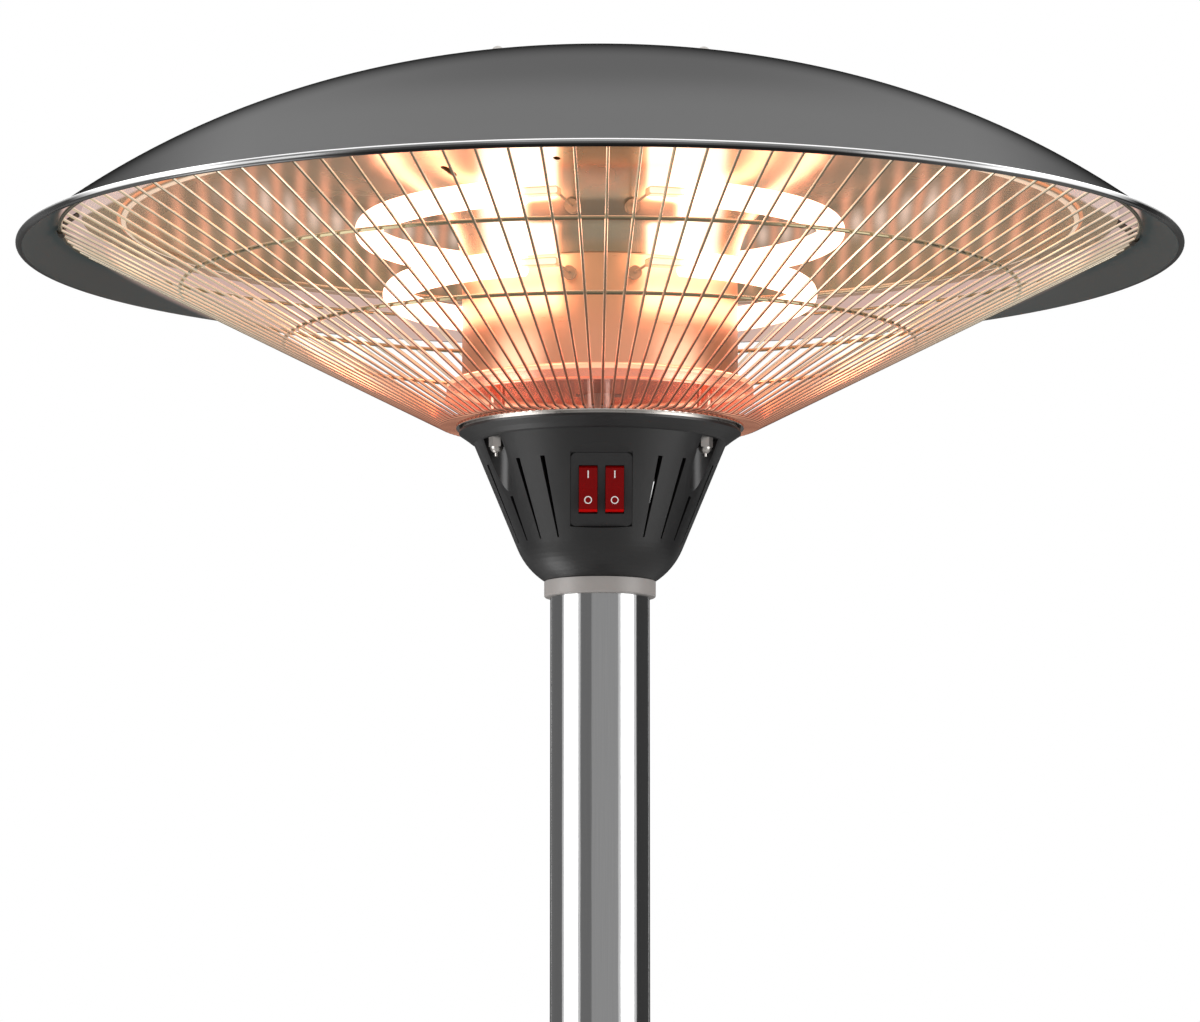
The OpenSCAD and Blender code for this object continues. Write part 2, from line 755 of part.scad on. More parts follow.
module bell_solid() {
    foot_r = bell_round_x + bell_round_r * cos(bell_round_end);
    rotate_extrude() polygon(concat(
        [[0, bell_z], [foot_r, bell_z]],
        arc(bell_round_x, bell_round_z, bell_round_r, -bell_round_end, -cone_lean, 8),
        [
            [cone_top_d / 2, cone_top_z],
            [band_foot_d / 2, cone_top_z + band_step_h],
            [band_top_d / 2, cone_top_z + band_top_rise],
            [bell_lip_d / 2, bell_top_z - bell_lip_h],
            [bell_lip_d / 2, bell_top_z],
            [0, bell_top_z]
        ]
    ));
}

module bell_hollow() {
    inner_r = bell_round_r - bell_wall;
    floor_z = bell_z + bell_floor_t;
    floor_angle = asin((bell_round_z - floor_z) / inner_r);
    rotate_extrude() polygon(concat(
        [[0, floor_z]],
        arc(bell_round_x, bell_round_z, inner_r, -floor_angle, -cone_lean, 8),
        [
            [bell_mouth_r - bell_wall * (1 / cos(cone_lean) - 1), cone_top_z],
            [bell_mouth_r, cone_top_z + 2],
            [bell_mouth_r, bell_top_z + 1],
            [0, bell_top_z + 1]
        ]
    ));
}

// The switch plate's own frame: origin in the middle of its face, -Y outward, +Z up the slope
plate_z = bell_top_z - plate_drop;

module switch_frame() {
    translate([0, -cone_r(plate_z), plate_z]) rotate([cone_lean, 0, 0]) translate([0, plate_depth, 0])
        children();
}

// A block in the switch frame, centred across and up the slope
module frame_block(w, y0, y1, h) {
    translate([-w / 2, y0, -h / 2]) cube([w, y1 - y0, h]);
}

// Sizes of the rockers and of what goes round them
rocker_r = norm([rocker_h / 2, pivot_depth]);
cavity_w = rocker_w + 2 * fit_gap;
cavity_h = 2 * (rocker_r + fit_gap + 0.1);
switch_w = cavity_w + 2 * switch_wall;
switch_h = cavity_h + 2 * switch_wall;
window_h = 2 * (sqrt(pow(rocker_r, 2) - pow(pivot_depth - plate_t, 2)) + fit_gap + 0.1);
pair_w = rocker_pitch + switch_w;
ledge_t = 3;
ledge_rim = 2.6;

module bell_ledge() {
    frame_block(plate_w + 2 * ledge_rim, -plate_depth, plate_t + ledge_t, plate_h + 2 * ledge_rim);
}

module bell_plate_seat() {
    w = plate_w + 2 * fit_gap;
    h = plate_h + 2 * fit_gap;
    runout = plate_depth + 1;
    frame_block(w, -12, plate_t, h);
    // The flat over the plate runs out to the cone in a short slope
    translate([-w / 2, 0, 0]) rotate([90, 0, 90]) linear_extrude(w) polygon([
        [0, h / 2 - 1],
        [0, h / 2],
        [-runout, h / 2 + 2.6 * runout],
        [-12, h / 2 + 2.6 * runout],
        [-12, h / 2 - 1]
    ]);
    frame_block(pair_w + 2 * fit_gap, 0, plate_t + ledge_t + 4, switch_h + 2 * fit_gap);
}

slot_rise = 2;

// A tapered vent slot, widest at its upper end, cut square to the cone from near its foot upward
module vent_slot(len) {
    foot_z = cone_foot_z + slot_rise;
    translate([0, -cone_r(foot_z), foot_z]) rotate([cone_lean, 0, 0])
        translate([0, bell_wall + 1.2, 0]) rotate([90, 0, 0]) linear_extrude(bell_wall + 3) polygon([
            [-slot_w / 6, 0],
            [slot_w / 6, 0],
            [slot_w / 2, len],
            [-slot_w / 2, len]
        ]);
}

long_slots = [2, 3, 5, 6, 7, 8, 9, 10, 11];
short_slots = [4, 12];

pocket_shift = 1;

module nut_pocket() {
    translate([0, -stud_ring_r - pocket_shift, bell_z]) cylinder(r = pocket_r, h = pocket_roof_z - bell_z);
}

module nut_pocket_wall() {
    translate([0, -stud_ring_r - pocket_shift, bell_z]) cylinder(r = pocket_r + bell_wall, h = bell_h);
}

pole_socket_r = pole_r + slide_gap + pole_socket_wall;

module housing() {
    color([0.17, 0.17, 0.17])
    difference() {
        union() {
            difference() {
                bell_solid();
                bell_hollow();
            }
            intersection() {
                bell_solid();
                union() {
                    for (a = stud_azimuths) at_azimuth(a) nut_pocket_wall();
                    switch_frame() bell_ledge();
                    translate([0, 0, bell_z]) cylinder(r = pole_socket_r, h = pole_socket_h + 2);
                }
            }
        }
        for (a = stud_azimuths) at_azimuth(a) nut_pocket();
        at_studs(pocket_roof_z - 1) cylinder(r = stud_d / 2 + hole_gap, h = 20, $fn = fine);
        for (side = [-1, 1]) {
            for (i = long_slots) at_azimuth(side * i * slot_pitch) vent_slot(slot_len);
        }
        for (i = [-short_slots[0], short_slots[0], short_slots[1]])
            at_azimuth(i * slot_pitch) vent_slot(short_slot_len);
        switch_frame() bell_plate_seat();
        translate([0, 0, bell_z - 1]) cylinder(r = pole_r + slide_gap, h = pole_socket_h + 1);
        translate([0, 0, bell_z - 1]) cylinder(r = pole_bore_r - 2, h = pole_socket_h + 5);
        for (a = clamp_screw_azimuths) clamp_screw_line(a)
            cylinder(r = pole_screw_d / 2 + seat_gap, h = 12, center = true, $fn = fine);
    }
}

// A radial line through the housing's socket wall, as a frame whose +Z runs outward
module clamp_screw_line(a) {
    at_azimuth(a) translate([0, -pole_socket_r + pole_socket_wall / 2, bell_z + pole_socket_h / 2 + 3])
        rotate([90, 0, 0]) children();
}

module pole_clamp_screws() {
    shank = pole_socket_wall + 3;
    color("silver")
    for (a = clamp_screw_azimuths) clamp_screw_line(a) difference() {
        union() {
            translate([0, 0, pole_socket_wall / 2 + 0.5 - shank])
                cylinder(d = pole_screw_d, h = shank, $fn = fine);
            translate([0, 0, pole_socket_wall / 2 + 0.5])
                cylinder(d = pole_screw_d * 1.6, h = 2.4, $fn = fine);
        }
        translate([0, 0, pole_socket_wall / 2 + 1.6]) hex(2.5, 5);
    }
}

module housing_acorn_nuts() {
    dome_h = cap_nut_dome_d / 2;
    tip_h = 1.4;
    color("silver")
    for (a = stud_azimuths)
        at_azimuth(a) translate([0, -stud_ring_r, pocket_roof_z]) mirror([0, 0, 1]) {
            cap_nut(cap_nut_hex_h);
            translate([0, 0, cap_nut_hex_h + dome_h / 2])
                cylinder(d = cap_nut_tip_d, h = dome_h / 2 + tip_h, $fn = fine);
        }
}

// Switches

module switch_plate() {
    w = plate_w;
    h = plate_h;
    r = plate_corner_r;
    color([0.16, 0.16, 0.17])
    switch_frame() difference() {
        union() {
            frame_block(w - 2 * r, 0, plate_t, h);
            frame_block(w, 0, plate_t, h - 2 * r);
            for (x = [-1, 1], z = [-1, 1])
                translate([x * (w / 2 - r), plate_t, z * (h / 2 - r)]) rotate([90, 0, 0])
                    cylinder(r = r, h = plate_t, $fn = 32);
        }
        for (side = [-1, 1])
            translate([side * rocker_pitch / 2, 0, 0]) frame_block(cavity_w, -1, plate_t + 1, window_h);
    }
}

// Side -1 is the left switch as one faces the housing, 1 the right
module at_switch(side) {
    switch_frame() translate([side * rocker_pitch / 2, 0, 0]) children();
}

module pivot_line(len, r) {
    translate([-len / 2, pivot_depth, 0]) rotate([0, 90, 0]) cylinder(r = r, h = len, $fn = fine);
}

module switch_body() {
    difference() {
        frame_block(switch_w, plate_t, plate_t + switch_depth, switch_h);
        frame_block(cavity_w, plate_t - 1, pivot_depth + 8, cavity_h);
        pivot_line(switch_w + 2, pivot_d / 2 + pivot_gap);
    }
}

module switch_body_left() {
    color([0.12, 0.12, 0.12]) at_switch(-1) switch_body();
}

module switch_body_right() {
    color([0.12, 0.12, 0.12]) at_switch(1) switch_body();
}

// A rocker in its on position: a dished face, round ends that clear the window, and a nose behind
module rocker() {
    proud = pivot_depth + rocker_proud;
    t = tan(rocker_dish);
    end_v = (sqrt(pow(rocker_r, 2) * (1 + t * t) - proud * proud) - proud * t) / (1 + t * t);
    end_u = -proud - end_v * t;
    front_angle = atan2(end_v, end_u);
    back_angle = 82;
    half = arc(0, 0, rocker_r, front_angle, back_angle, 8);
    mirrored = [for (i = [len(half) - 1:-1:0]) [half[i][0], -half[i][1]]];
    translate([0, pivot_depth, 0]) rotate([-rocker_swing, 0, 0])
        translate([-rocker_w / 2, 0, 0]) rotate([90, 0, 90]) linear_extrude(rocker_w)
            polygon(concat([[-proud, 0]], half, [[3, 4], [6, 1.2], [6, -1.2], [3, -4]], mirrored));
    pivot_line(cavity_w + 2 * switch_wall - 0.4, pivot_d / 2);
}

module rocker_left() {
    color([0.5, 0, 0]) at_switch(-1) rocker();
}

module rocker_right() {
    color([0.5, 0, 0]) at_switch(1) rocker();
}

module switch_terminals() {
    tab_w = 6.3;
    tab_t = 0.8;
    tab_len = 8;
    tab_pitch = 9;
    color("gold")
    for (side = [-1, 1], z = [-tab_pitch, 0, tab_pitch])
        at_switch(side) translate([-tab_w / 2, plate_t + switch_depth, z - tab_t / 2]) difference() {
            cube([tab_w, tab_len, tab_t]);
            translate([tab_w / 2, tab_len - 3, -1]) cylinder(d = 1.8, h = 3, $fn = fine);
        }
}

// Electrical pieces under the head plate

module terminal_block() {
    w = 40;
    d = 16;
    h = 13;
    ways = 3;
    color("ivory")
    translate([-w / 2, 22, bell_top_z - h]) difference() {
        cube([w, d, h]);
        for (i = [0:ways - 1]) {
            translate([w * (i + 0.5) / ways, -1, h / 2]) rotate([-90, 0, 0])
                cylinder(d = 5, h = d + 2, $fn = fine);
            for (y = [4, d - 4])
                translate([w * (i + 0.5) / ways, y, -1]) cylinder(d = 4, h = h / 2, $fn = fine);
        }
    }
}

module thermal_cutout() {
    color("silver")
    translate([0, 34, pan_z - 8]) {
        cylinder(d = 16, h = 8);
        translate([-12, -1.5, 7.2]) cube([24, 3, 0.8]);
    }
}

tilt_x = 34;
tilt_pin_d = 3;
tilt_drop = 10;
ear_gap = 10;
ear_t = 1.5;

module tilt_pin_line(len, r) {
    translate([tilt_x - len / 2, 0, bell_top_z - tilt_drop]) rotate([0, 90, 0])
        cylinder(r = r, h = len, $fn = fine);
}

// Bracket of the tip-over switch: a plate under the head plate with two ears for the pin
module tilt_bracket() {
    w = ear_gap + 2 * ear_t;
    color("silver")
    difference() {
        union() {
            translate([tilt_x - w / 2, -8, bell_top_z - ear_t]) cube([w, 16, ear_t]);
            for (x = [tilt_x - w / 2, tilt_x + w / 2 - ear_t])
                translate([x, -5, bell_top_z - tilt_drop - 4]) cube([ear_t, 10, tilt_drop + 4]);
        }
        tilt_pin_line(w + 2, tilt_pin_d / 2 + seat_gap);
    }
}

module tilt_pin() {
    color("silver") tilt_pin_line(ear_gap + 2 * ear_t + 3, tilt_pin_d / 2);
}

// Pendulum that hangs on the pin and opens the circuit when the heater leans too far
module tilt_pendulum() {
    hub_r = tilt_pin_d / 2 + 2.2;
    hub_len = ear_gap - 1;
    bob_z = bell_top_z - tilt_drop - 30;
    color("orange")
    difference() {
        union() {
            tilt_pin_line(hub_len, hub_r);
            translate([tilt_x, 0, bob_z]) cylinder(d = 3, h = 30, $fn = fine);
            translate([tilt_x, 0, bob_z - 4]) cylinder(d = 11, h = 9, $fn = 32);
        }
        tilt_pin_line(hub_len + 2, tilt_pin_d / 2 + pivot_gap);
    }
}

// Pole

module collar(z) {
    chamfer = 1;
    rotate_extrude() polygon([
        [pole_r + seat_gap, z],
        [collar_d / 2 - chamfer, z],
        [collar_d / 2, z + chamfer],
        [collar_d / 2, z + collar_h],
        [pole_r + seat_gap, z + collar_h]
    ]);
}

module upper_collar() {
    color([0.66, 0.65, 0.64]) collar(bell_z - collar_h);
}

module lower_collar() {
    color([0.66, 0.65, 0.64]) mirror([0, 0, 1]) collar(-base_h - collar_h);
}

// A radial line through the pole at a height, as a frame whose +Z runs outward from the pole's surface
module pole_line(a, z) {
    at_azimuth(a) translate([0, -pole_r, z]) rotate([90, 0, 0]) children();
}

module screw_hole(a, z) {
    pole_line(a, z) translate([0, 0, -pole_wall - sleeve_wall - 3])
        cylinder(r = pole_screw_d / 2 + hole_gap, h = pole_wall + sleeve_wall + 6, $fn = fine);
}

coupler_screw_drop = coupler_len / 4;
coupler_screw_zs = [joint_z - coupler_screw_drop, joint_z + coupler_screw_drop];
socket_screw_z = pole_z + socket_h - 20;

module upper_pole() {
    color("gainsboro")
    difference() {
        translate([0, 0, joint_z]) tube(pole_r, pole_bore_r, upper_pole_len);
        for (a = pole_screw_azimuths) screw_hole(a, coupler_screw_zs[1]);
        for (a = clamp_screw_azimuths) clamp_screw_line(a)
            cylinder(r = pole_screw_d / 2 + seat_gap, h = 14, center = true, $fn = fine);
    }
}

module lower_pole() {
    color("gainsboro")
    difference() {
        translate([0, 0, pole_z]) tube(pole_r, pole_bore_r, lower_pole_len);
        for (a = pole_screw_azimuths) {
            screw_hole(a, coupler_screw_zs[0]);
            screw_hole(a, socket_screw_z);
        }
    }
}

module pole_coupler() {
    color("silver")
    difference() {
        translate([0, 0, joint_z - coupler_len / 2]) tube(sleeve_r, sleeve_r - sleeve_wall, coupler_len);
        for (a = pole_screw_azimuths, z = coupler_screw_zs) screw_hole(a, z);
    }
}

// A round-headed screw whose head rests on the pole
module pole_screw(a, z) {
    head_r = pole_screw_d * 0.9;
    head_h = pole_screw_d * 0.55;
    lift = pole_r - sqrt(pow(pole_r, 2) - pow(head_r, 2));
    shank = pole_wall + sleeve_wall + 2;
    pole_line(a, z) difference() {
        union() {
            translate([0, 0, -shank]) cylinder(d = pole_screw_d, h = shank + head_h / 2, $fn = fine);
            translate([0, 0, seat_gap]) intersection() {
                translate([0, 0, head_h - head_r * 1.3]) sphere(r = head_r * 1.3, $fn = 48);
                cylinder(r = head_r, h = head_h, $fn = 32);
            }
        }
        translate([0, 0, head_h - 1.5]) hex(2.6, 3);
    }
}

module coupler_screws() {
    color("silver")
    for (a = pole_screw_azimuths, z = coupler_screw_zs) pole_screw(a, z);
}

// Base

module at_bolts(z) {
    for (i = [0:bolt_count - 1])
        rotate([0, 0, (i + 0.5) * 360 / bolt_count]) translate([bolt_circle_d / 2, 0, z]) children();
}

bolt_head_h = 5;
bolt_af = bolt_d * 1.6;
bolt_nut_h = bolt_d * 0.8;

module base_flange() {
    color([0.1, 0.1, 0.1])
    difference() {
        union() {
            translate([0, 0, flange_z]) cylinder(d = flange_d, h = flange_t);
            translate([0, 0, flange_z]) cylinder(r = sleeve_r, h = flange_t + socket_h);
        }
        translate([0, 0, flange_z - 1]) cylinder(r = sleeve_r - sleeve_wall, h = flange_t + socket_h + 2);
        at_bolts(flange_z - 1) cylinder(r = bolt_d / 2 + hole_gap, h = flange_t + 2, $fn = 32);
        for (a = pole_screw_azimuths) screw_hole(a, socket_screw_z);
    }
}

module flange_screws() {
    color("silver")
    for (a = pole_screw_azimuths) pole_screw(a, socket_screw_z);
}

module base_bolts() {
    head_z = weight_z + 0.5;
    top_z = pole_z + bolt_nut_h + 3;
    color("silver")
    at_bolts(head_z) {
        hex(bolt_af, bolt_head_h);
        cylinder(d = bolt_d, h = top_z - head_z, $fn = 32);
    }
}

module base_nuts() {
    color("silver")
    at_bolts(pole_z) difference() {
        hex(bolt_af, bolt_nut_h);
        translate([0, 0, -1]) cylinder(r = bolt_d / 2 + seat_gap, h = bolt_nut_h + 2, $fn = 32);
    }
}

cord_hole_d = 30;

module base_weight() {
    r = weight_d / 2;
    rim_w = 18;
    color([0.3, 0.3, 0.32])
    difference() {
        rotate_extrude() polygon([
            [cord_hole_d / 2, weight_z],
            [r - 1.5, weight_z],
            [r, weight_z + 1.5],
            [r, weight_z + weight_h + weight_rim_h - 3],
            [r - 3, weight_z + weight_h + weight_rim_h],
            [r - rim_w, weight_z + weight_h + weight_rim_h],
            [r - rim_w - weight_rim_h, weight_z + weight_h],
            [cord_hole_d / 2, weight_z + weight_h]
        ]);
        at_bolts(weight_z - 1) {
            cylinder(r = bolt_d / 2 + hole_gap, h = weight_h + 2, $fn = 32);
            cylinder(d = bolt_af * nut_round + 2, h = bolt_head_h + 1.5, $fn = 32);
        }
    }
}

// Height of the cover's outer face over the upright rim
cover_rim_z = foot_h + base_rim_h;
function cover_z(r) = base_h - (base_h - cover_rim_z) * pow(r / (base_d / 2), 4);

cover_screw_circle_r = (weight_d / 2 + base_d / 2 - base_wall) / 2;
cover_boss_r = 5;
cover_screw_count = 4;
cover_screw_d = 2.9;
small_hole_d = 4.4;

module at_cover_screws(z) {
    for (i = [0:cover_screw_count - 1])
        rotate([0, 0, (i + 0.5) * 360 / cover_screw_count])
            translate([cover_screw_circle_r, 0, z]) children();
}

grommet_z = foot_h + base_rim_h / 2 + 0.5;
grommet_hole_r = 4.5;

module base_cover() {
    r = base_d / 2;
    hole_r = pole_r + 1;
    steps = 16;
    dome = [for (i = [0:steps]) let (x = r - (r - hole_r) * i / steps) [x, cover_z(x)]];
    under = [for (i = [steps:-1:0])
        let (x = r - base_wall - (r - base_wall - hole_r) * i / steps) [x, cover_z(x) - base_wall]];
    color([0.13, 0.13, 0.13])
    difference() {
        union() {
            rotate_extrude() polygon(concat([[r, foot_h]], dome, under, [[r - base_wall, foot_h]]));
            at_cover_screws(weight_z)
                cylinder(r = cover_boss_r, h = cover_z(cover_screw_circle_r + cover_boss_r) - weight_z - 1);
        }
        at_cover_screws(weight_z - 1) cylinder(d = cover_screw_d + 0.1, h = 13, $fn = fine);
        translate([0, r - base_wall - 3, grommet_z]) rotate([-90, 0, 0])
            cylinder(r = grommet_hole_r + 1.5, h = base_wall + 6, $fn = 32);
    }
}

module base_bottom_plate() {
    color([0.2, 0.2, 0.2])
    difference() {
        translate([0, 0, bottom_plate_z]) cylinder(r = base_d / 2 - base_wall - fit_gap, h = bottom_plate_t);
        at_cover_screws(bottom_plate_z - 1) cylinder(d = small_hole_d, h = bottom_plate_t + 2, $fn = fine);
        at_feet(bottom_plate_z - 1) cylinder(d = small_hole_d, h = bottom_plate_t + 2, $fn = fine);
    }
}

module cover_screws() {
    color("silver")
    at_cover_screws(bottom_plate_z - 1.8) {
        cylinder(d = 7, h = 1.8, $fn = fine);
        cylinder(d = cover_screw_d, h = 10, $fn = fine);
    }
}

foot_circle_r = weight_d / 2 - foot_d / 2 - 6;

module at_feet(z) {
    for (i = [0:foot_count - 1])
        rotate([0, 0, i * 360 / foot_count]) translate([foot_circle_r, 0, z]) children();
}

module base_feet() {
    flare = 2;
    color([0.08, 0.08, 0.08])
    at_feet(0) difference() {
        rotate_extrude($fn = 48) polygon([
            [0, 0],
            [foot_d / 2 - flare, 0],
            [foot_d / 2, foot_h],
            [0, foot_h]
        ]);
        translate([0, 0, -1]) cylinder(d = 10, h = foot_h / 2 + 1, $fn = 32);
        translate([0, 0, -1]) cylinder(d = small_hole_d, h = foot_h + 2, $fn = fine);
    }
}

module feet_screws() {
    color("silver")
    at_feet(foot_h / 2) {
        translate([0, 0, -2.2]) cylinder(d = 8, h = 2.2, $fn = 32);
        cylinder(d = 4, h = foot_h / 2 + bottom_plate_t, $fn = fine);
    }
}

module cord_grommet() {
    face_y = base_d / 2;
    color([0.05, 0.05, 0.05])
    translate([0, face_y - base_wall - 2, grommet_z]) rotate([-90, 0, 0]) rotate_extrude($fn = 48) polygon([
        [grommet_hole_r - 1, 0],
        [grommet_hole_r + 1.4, 0],
        [grommet_hole_r + 1.4, base_wall + 2.3],
        [grommet_hole_r + 4, base_wall + 2.3],
        [grommet_hole_r + 3, base_wall + 4],
        [grommet_hole_r - 1, base_wall + 4]
    ]);
}

hood();
hood_washers();
hood_acorn_nuts();
hood_spacers();
reflector_dish();
lamp_drum();
drum_spacers();
lamp_pan();
pan_standoffs();
tie_studs();
upper_lamp_glass();
lower_lamp_glass();
lamp_filaments();
lamp_leads();
lead_bushes();
lamp_rear_bracket();
guard_wires();
guard_top_ring();
guard_middle_rings();
guard_clamp_ring();
guard_clips();
head_plate();
housing();
housing_acorn_nuts();
pole_clamp_screws();
switch_plate();
switch_body_left();
switch_body_right();
rocker_left();
rocker_right();
switch_terminals();
terminal_block();
thermal_cutout();
tilt_bracket();
tilt_pin();
tilt_pendulum();
upper_collar();
upper_pole();
coupler_screws();
pole_coupler();
lower_pole();
lower_collar();
base_flange();
flange_screws();
base_bolts();
base_nuts();
base_weight();
base_cover();
cover_screws();
base_bottom_plate();
base_feet();
feet_screws();
cord_grommet();
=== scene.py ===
import math

import bmesh
import bpy
from mathutils import Matrix, Vector


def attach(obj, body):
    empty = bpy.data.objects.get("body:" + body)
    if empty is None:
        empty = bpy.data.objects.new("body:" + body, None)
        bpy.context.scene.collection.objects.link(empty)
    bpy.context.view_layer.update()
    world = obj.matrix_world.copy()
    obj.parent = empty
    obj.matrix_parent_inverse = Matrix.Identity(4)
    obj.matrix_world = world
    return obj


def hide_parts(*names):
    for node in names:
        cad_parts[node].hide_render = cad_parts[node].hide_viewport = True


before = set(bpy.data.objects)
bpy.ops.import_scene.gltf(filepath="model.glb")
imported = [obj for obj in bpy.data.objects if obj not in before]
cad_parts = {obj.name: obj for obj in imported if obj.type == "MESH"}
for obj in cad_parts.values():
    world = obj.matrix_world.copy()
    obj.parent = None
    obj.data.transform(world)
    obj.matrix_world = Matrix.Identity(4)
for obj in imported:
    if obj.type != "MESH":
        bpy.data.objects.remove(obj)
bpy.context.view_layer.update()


# Camera
# The heater's head is seen from chest height, a little from below, through a long lens,
# with the upper part of its pole running out of the frame.
def polar(radius, azimuth, height):
    """A place in metres: azimuth in degrees, 0 at the front and growing to the right."""
    turn = math.radians(azimuth)
    return Vector((radius * math.sin(turn), -radius * math.cos(turn), height))


eye_distance, eye_azimuth, eye_height = 2.567, -0.8, 1.5534
lens_width = 36.0
frame_width_px = 1200
focal_px = 5038.0
look_up = math.radians(6.9)
camera_data = bpy.data.cameras.new("camera")
camera_data.sensor_fit = "HORIZONTAL"
camera_data.sensor_width = lens_width
camera_data.lens = focal_px / frame_width_px * lens_width
camera = bpy.data.objects.new("camera", camera_data)
camera.location = polar(eye_distance, eye_azimuth, eye_height)
camera.rotation_euler = (math.pi / 2 + look_up, 0, math.radians(eye_azimuth))
bpy.context.scene.collection.objects.link(camera)
bpy.context.scene.camera = camera
bpy.context.scene.view_settings.view_transform = "Standard"


# Studio
# The heater stands on a plain pale floor in a white room. Two tall softboxes stand beside it, two
# hang above it and a small one stands low at its left. Plain grey cards, which only reflections
# show, give the polished steel something to mirror.
class Signal:
    """What one socket of a material's node gives. Arithmetic on it adds Math nodes."""

    def __init__(self, finish, socket):
        self.finish = finish
        self.socket = socket

    def maths(self, operation, *values):
        return self.finish.node("Math", {"operation": operation}, dict(enumerate(values)))

    def __abs__(self):
        return self.maths("ABSOLUTE", self)

    def __add__(self, other):
        return self.maths("ADD", self, other)

    def __sub__(self, other):
        return self.maths("SUBTRACT", self, other)

    def __rsub__(self, other):
        return self.maths("SUBTRACT", other, self)

    def __mul__(self, other):
        return self.maths("MULTIPLY", self, other)

    def __pow__(self, other):
        return self.maths("POWER", self, other)

    __radd__ = __add__
    __rmul__ = __mul__


class Finish:
    """One material of the heater, on Blender's principled shader."""

    def __init__(self, name, **plain):
        self.material = bpy.data.materials.new(name)
        self.material.use_nodes = True
        self.tree = self.material.node_tree
        self.shader = self.tree.nodes["Principled BSDF"]
        self.place = self.node("TexCoord", {}, {}, "Object")
        for socket, value in plain.items():
            self.put(socket.replace("_", " "), value)

    def node(self, kind, settings, sockets, output=0):
        """Adds a node: its settings first, then the values or links of its sockets."""
        made = self.tree.nodes.new("ShaderNode" + kind)
        for name, value in settings.items():
            setattr(made, name, value)
        for name, value in sockets.items():
            self.feed(made.inputs[name], value)
        return Signal(self, made.outputs[output])

    def feed(self, socket, value):
        if isinstance(value, Signal):
            self.tree.links.new(value.socket, socket)
        else:
            socket.default_value = value

    def put(self, socket, value):
        self.feed(self.shader.inputs[socket], value)

    def colour(self, factor, first, second):
        """Paints the surface between two screen colours."""
        self.put("Base Color", self.blend(factor, tone(first), tone(second)))

    def glow(self, colour, strength=1.0):
        """Makes the surface give off light, in a colour that may change over it."""
        self.put("Emission Color", colour)
        self.put("Emission Strength", strength)

    def surface(self, shader):
        """Puts another shader in the principled one's place."""
        self.feed(self.tree.nodes["Material Output"].inputs["Surface"], shader)

    def noise(self, scale, detail=3.0, stretch=(1, 1, 1)):
        """Noise from 0 to 1, in patches of about 1 / scale metres."""
        vector = self.node("Mapping", {}, {"Vector": self.place, "Scale": stretch})
        return self.node("TexNoise", {}, {"Vector": vector, "Scale": scale, "Detail": detail})

    def blend(self, factor, first, second):
        """The colour first where the factor is 0, and second where it is 1."""
        return self.node("Mix", {"data_type": "RGBA"}, {0: factor, 6: first, 7: second}, 2)

    def band(self, value, low, high):
        """0 below low, 1 above high, and a smooth step between them."""
        settings = {"interpolation_type": "SMOOTHSTEP"}
        return self.node("MapRange", settings, {"Value": value, "From Min": low, "From Max": high})

    def fade(self, value, low, high):
        """1 below low, 0 above high, and a smooth step between them."""
        return 1 - self.band(value, low, high)

    def relief(self, height, distance, strength):
        """Bumps the surface by a height of 0 to 1 over a distance in metres."""
        sockets = {"Height": height, "Distance": distance, "Strength": strength}
        self.put("Normal", self.node("Bump", {}, sockets))

    def parts(self, vector):
        """The X, Y and Z parts of a vector."""
        split = self.node("SeparateXYZ", {}, {0: vector}).socket.node
        return [Signal(self, output) for output in split.outputs]

    def axes(self):
        """The surface's place along X, Y and Z, in metres."""
        return self.parts(self.place)

    def normal_up(self):
        """The upward part of the surface's normal, from -1 facing down to 1 facing up."""
        return self.parts(self.node("TexCoord", {}, {}, "Normal"))[2]

    def grazing(self, bias):
        """0 where the surface faces the eye, and 1 where it is seen edge on."""
        return self.node("LayerWeight", {}, {"Blend": bias}, "Facing")

    def radius(self):
        """Distance from the pole's axis, in metres."""
        x, y, _ = self.axes()
        return (x * x + y * y) ** 0.5


def tone(code):
    """A screen colour such as 6F6F6F as Blender's linear colour."""
    shares = [int(code[i:i + 2], 16) / 255 for i in (0, 2, 4)]
    linear = [s / 12.92 if s <= 0.04045 else ((s + 0.055) / 1.055) ** 2.4 for s in shares]
    return (*linear, 1.0)


def light(red, green, blue, strength=1.0):
    """The linear colour of the light that a surface gives off."""
    return (red * strength, green * strength, blue * strength, 1.0)


white = light(1, 1, 1)
room_strength = 0.3
room = bpy.data.worlds.new("white_room")
room.use_nodes = True
room_tree = room.node_tree
room_light = room_tree.nodes["Background"]
room_light.inputs["Color"].default_value = white
room_light.inputs["Strength"].default_value = room_strength
room_white = room_tree.nodes.new("ShaderNodeBackground")
room_white.inputs["Color"].default_value = white
room_rays = room_tree.nodes.new("ShaderNodeLightPath")
room_seen = room_rays.outputs["Is Camera Ray"]
for ray in ("Is Glossy Ray", "Is Transmission Ray"):
    either = room_tree.nodes.new("ShaderNodeMath")
    either.operation = "MAXIMUM"
    room_tree.links.new(room_seen, either.inputs[0])
    room_tree.links.new(room_rays.outputs[ray], either.inputs[1])
    room_seen = either.outputs[0]
room_mix = room_tree.nodes.new("ShaderNodeMixShader")
room_tree.links.new(room_seen, room_mix.inputs[0])
room_tree.links.new(room_light.outputs[0], room_mix.inputs[1])
room_tree.links.new(room_white.outputs[0], room_mix.inputs[2])
room_tree.links.new(room_mix.outputs[0], room_tree.nodes["World Output"].inputs["Surface"])
bpy.context.scene.world = room

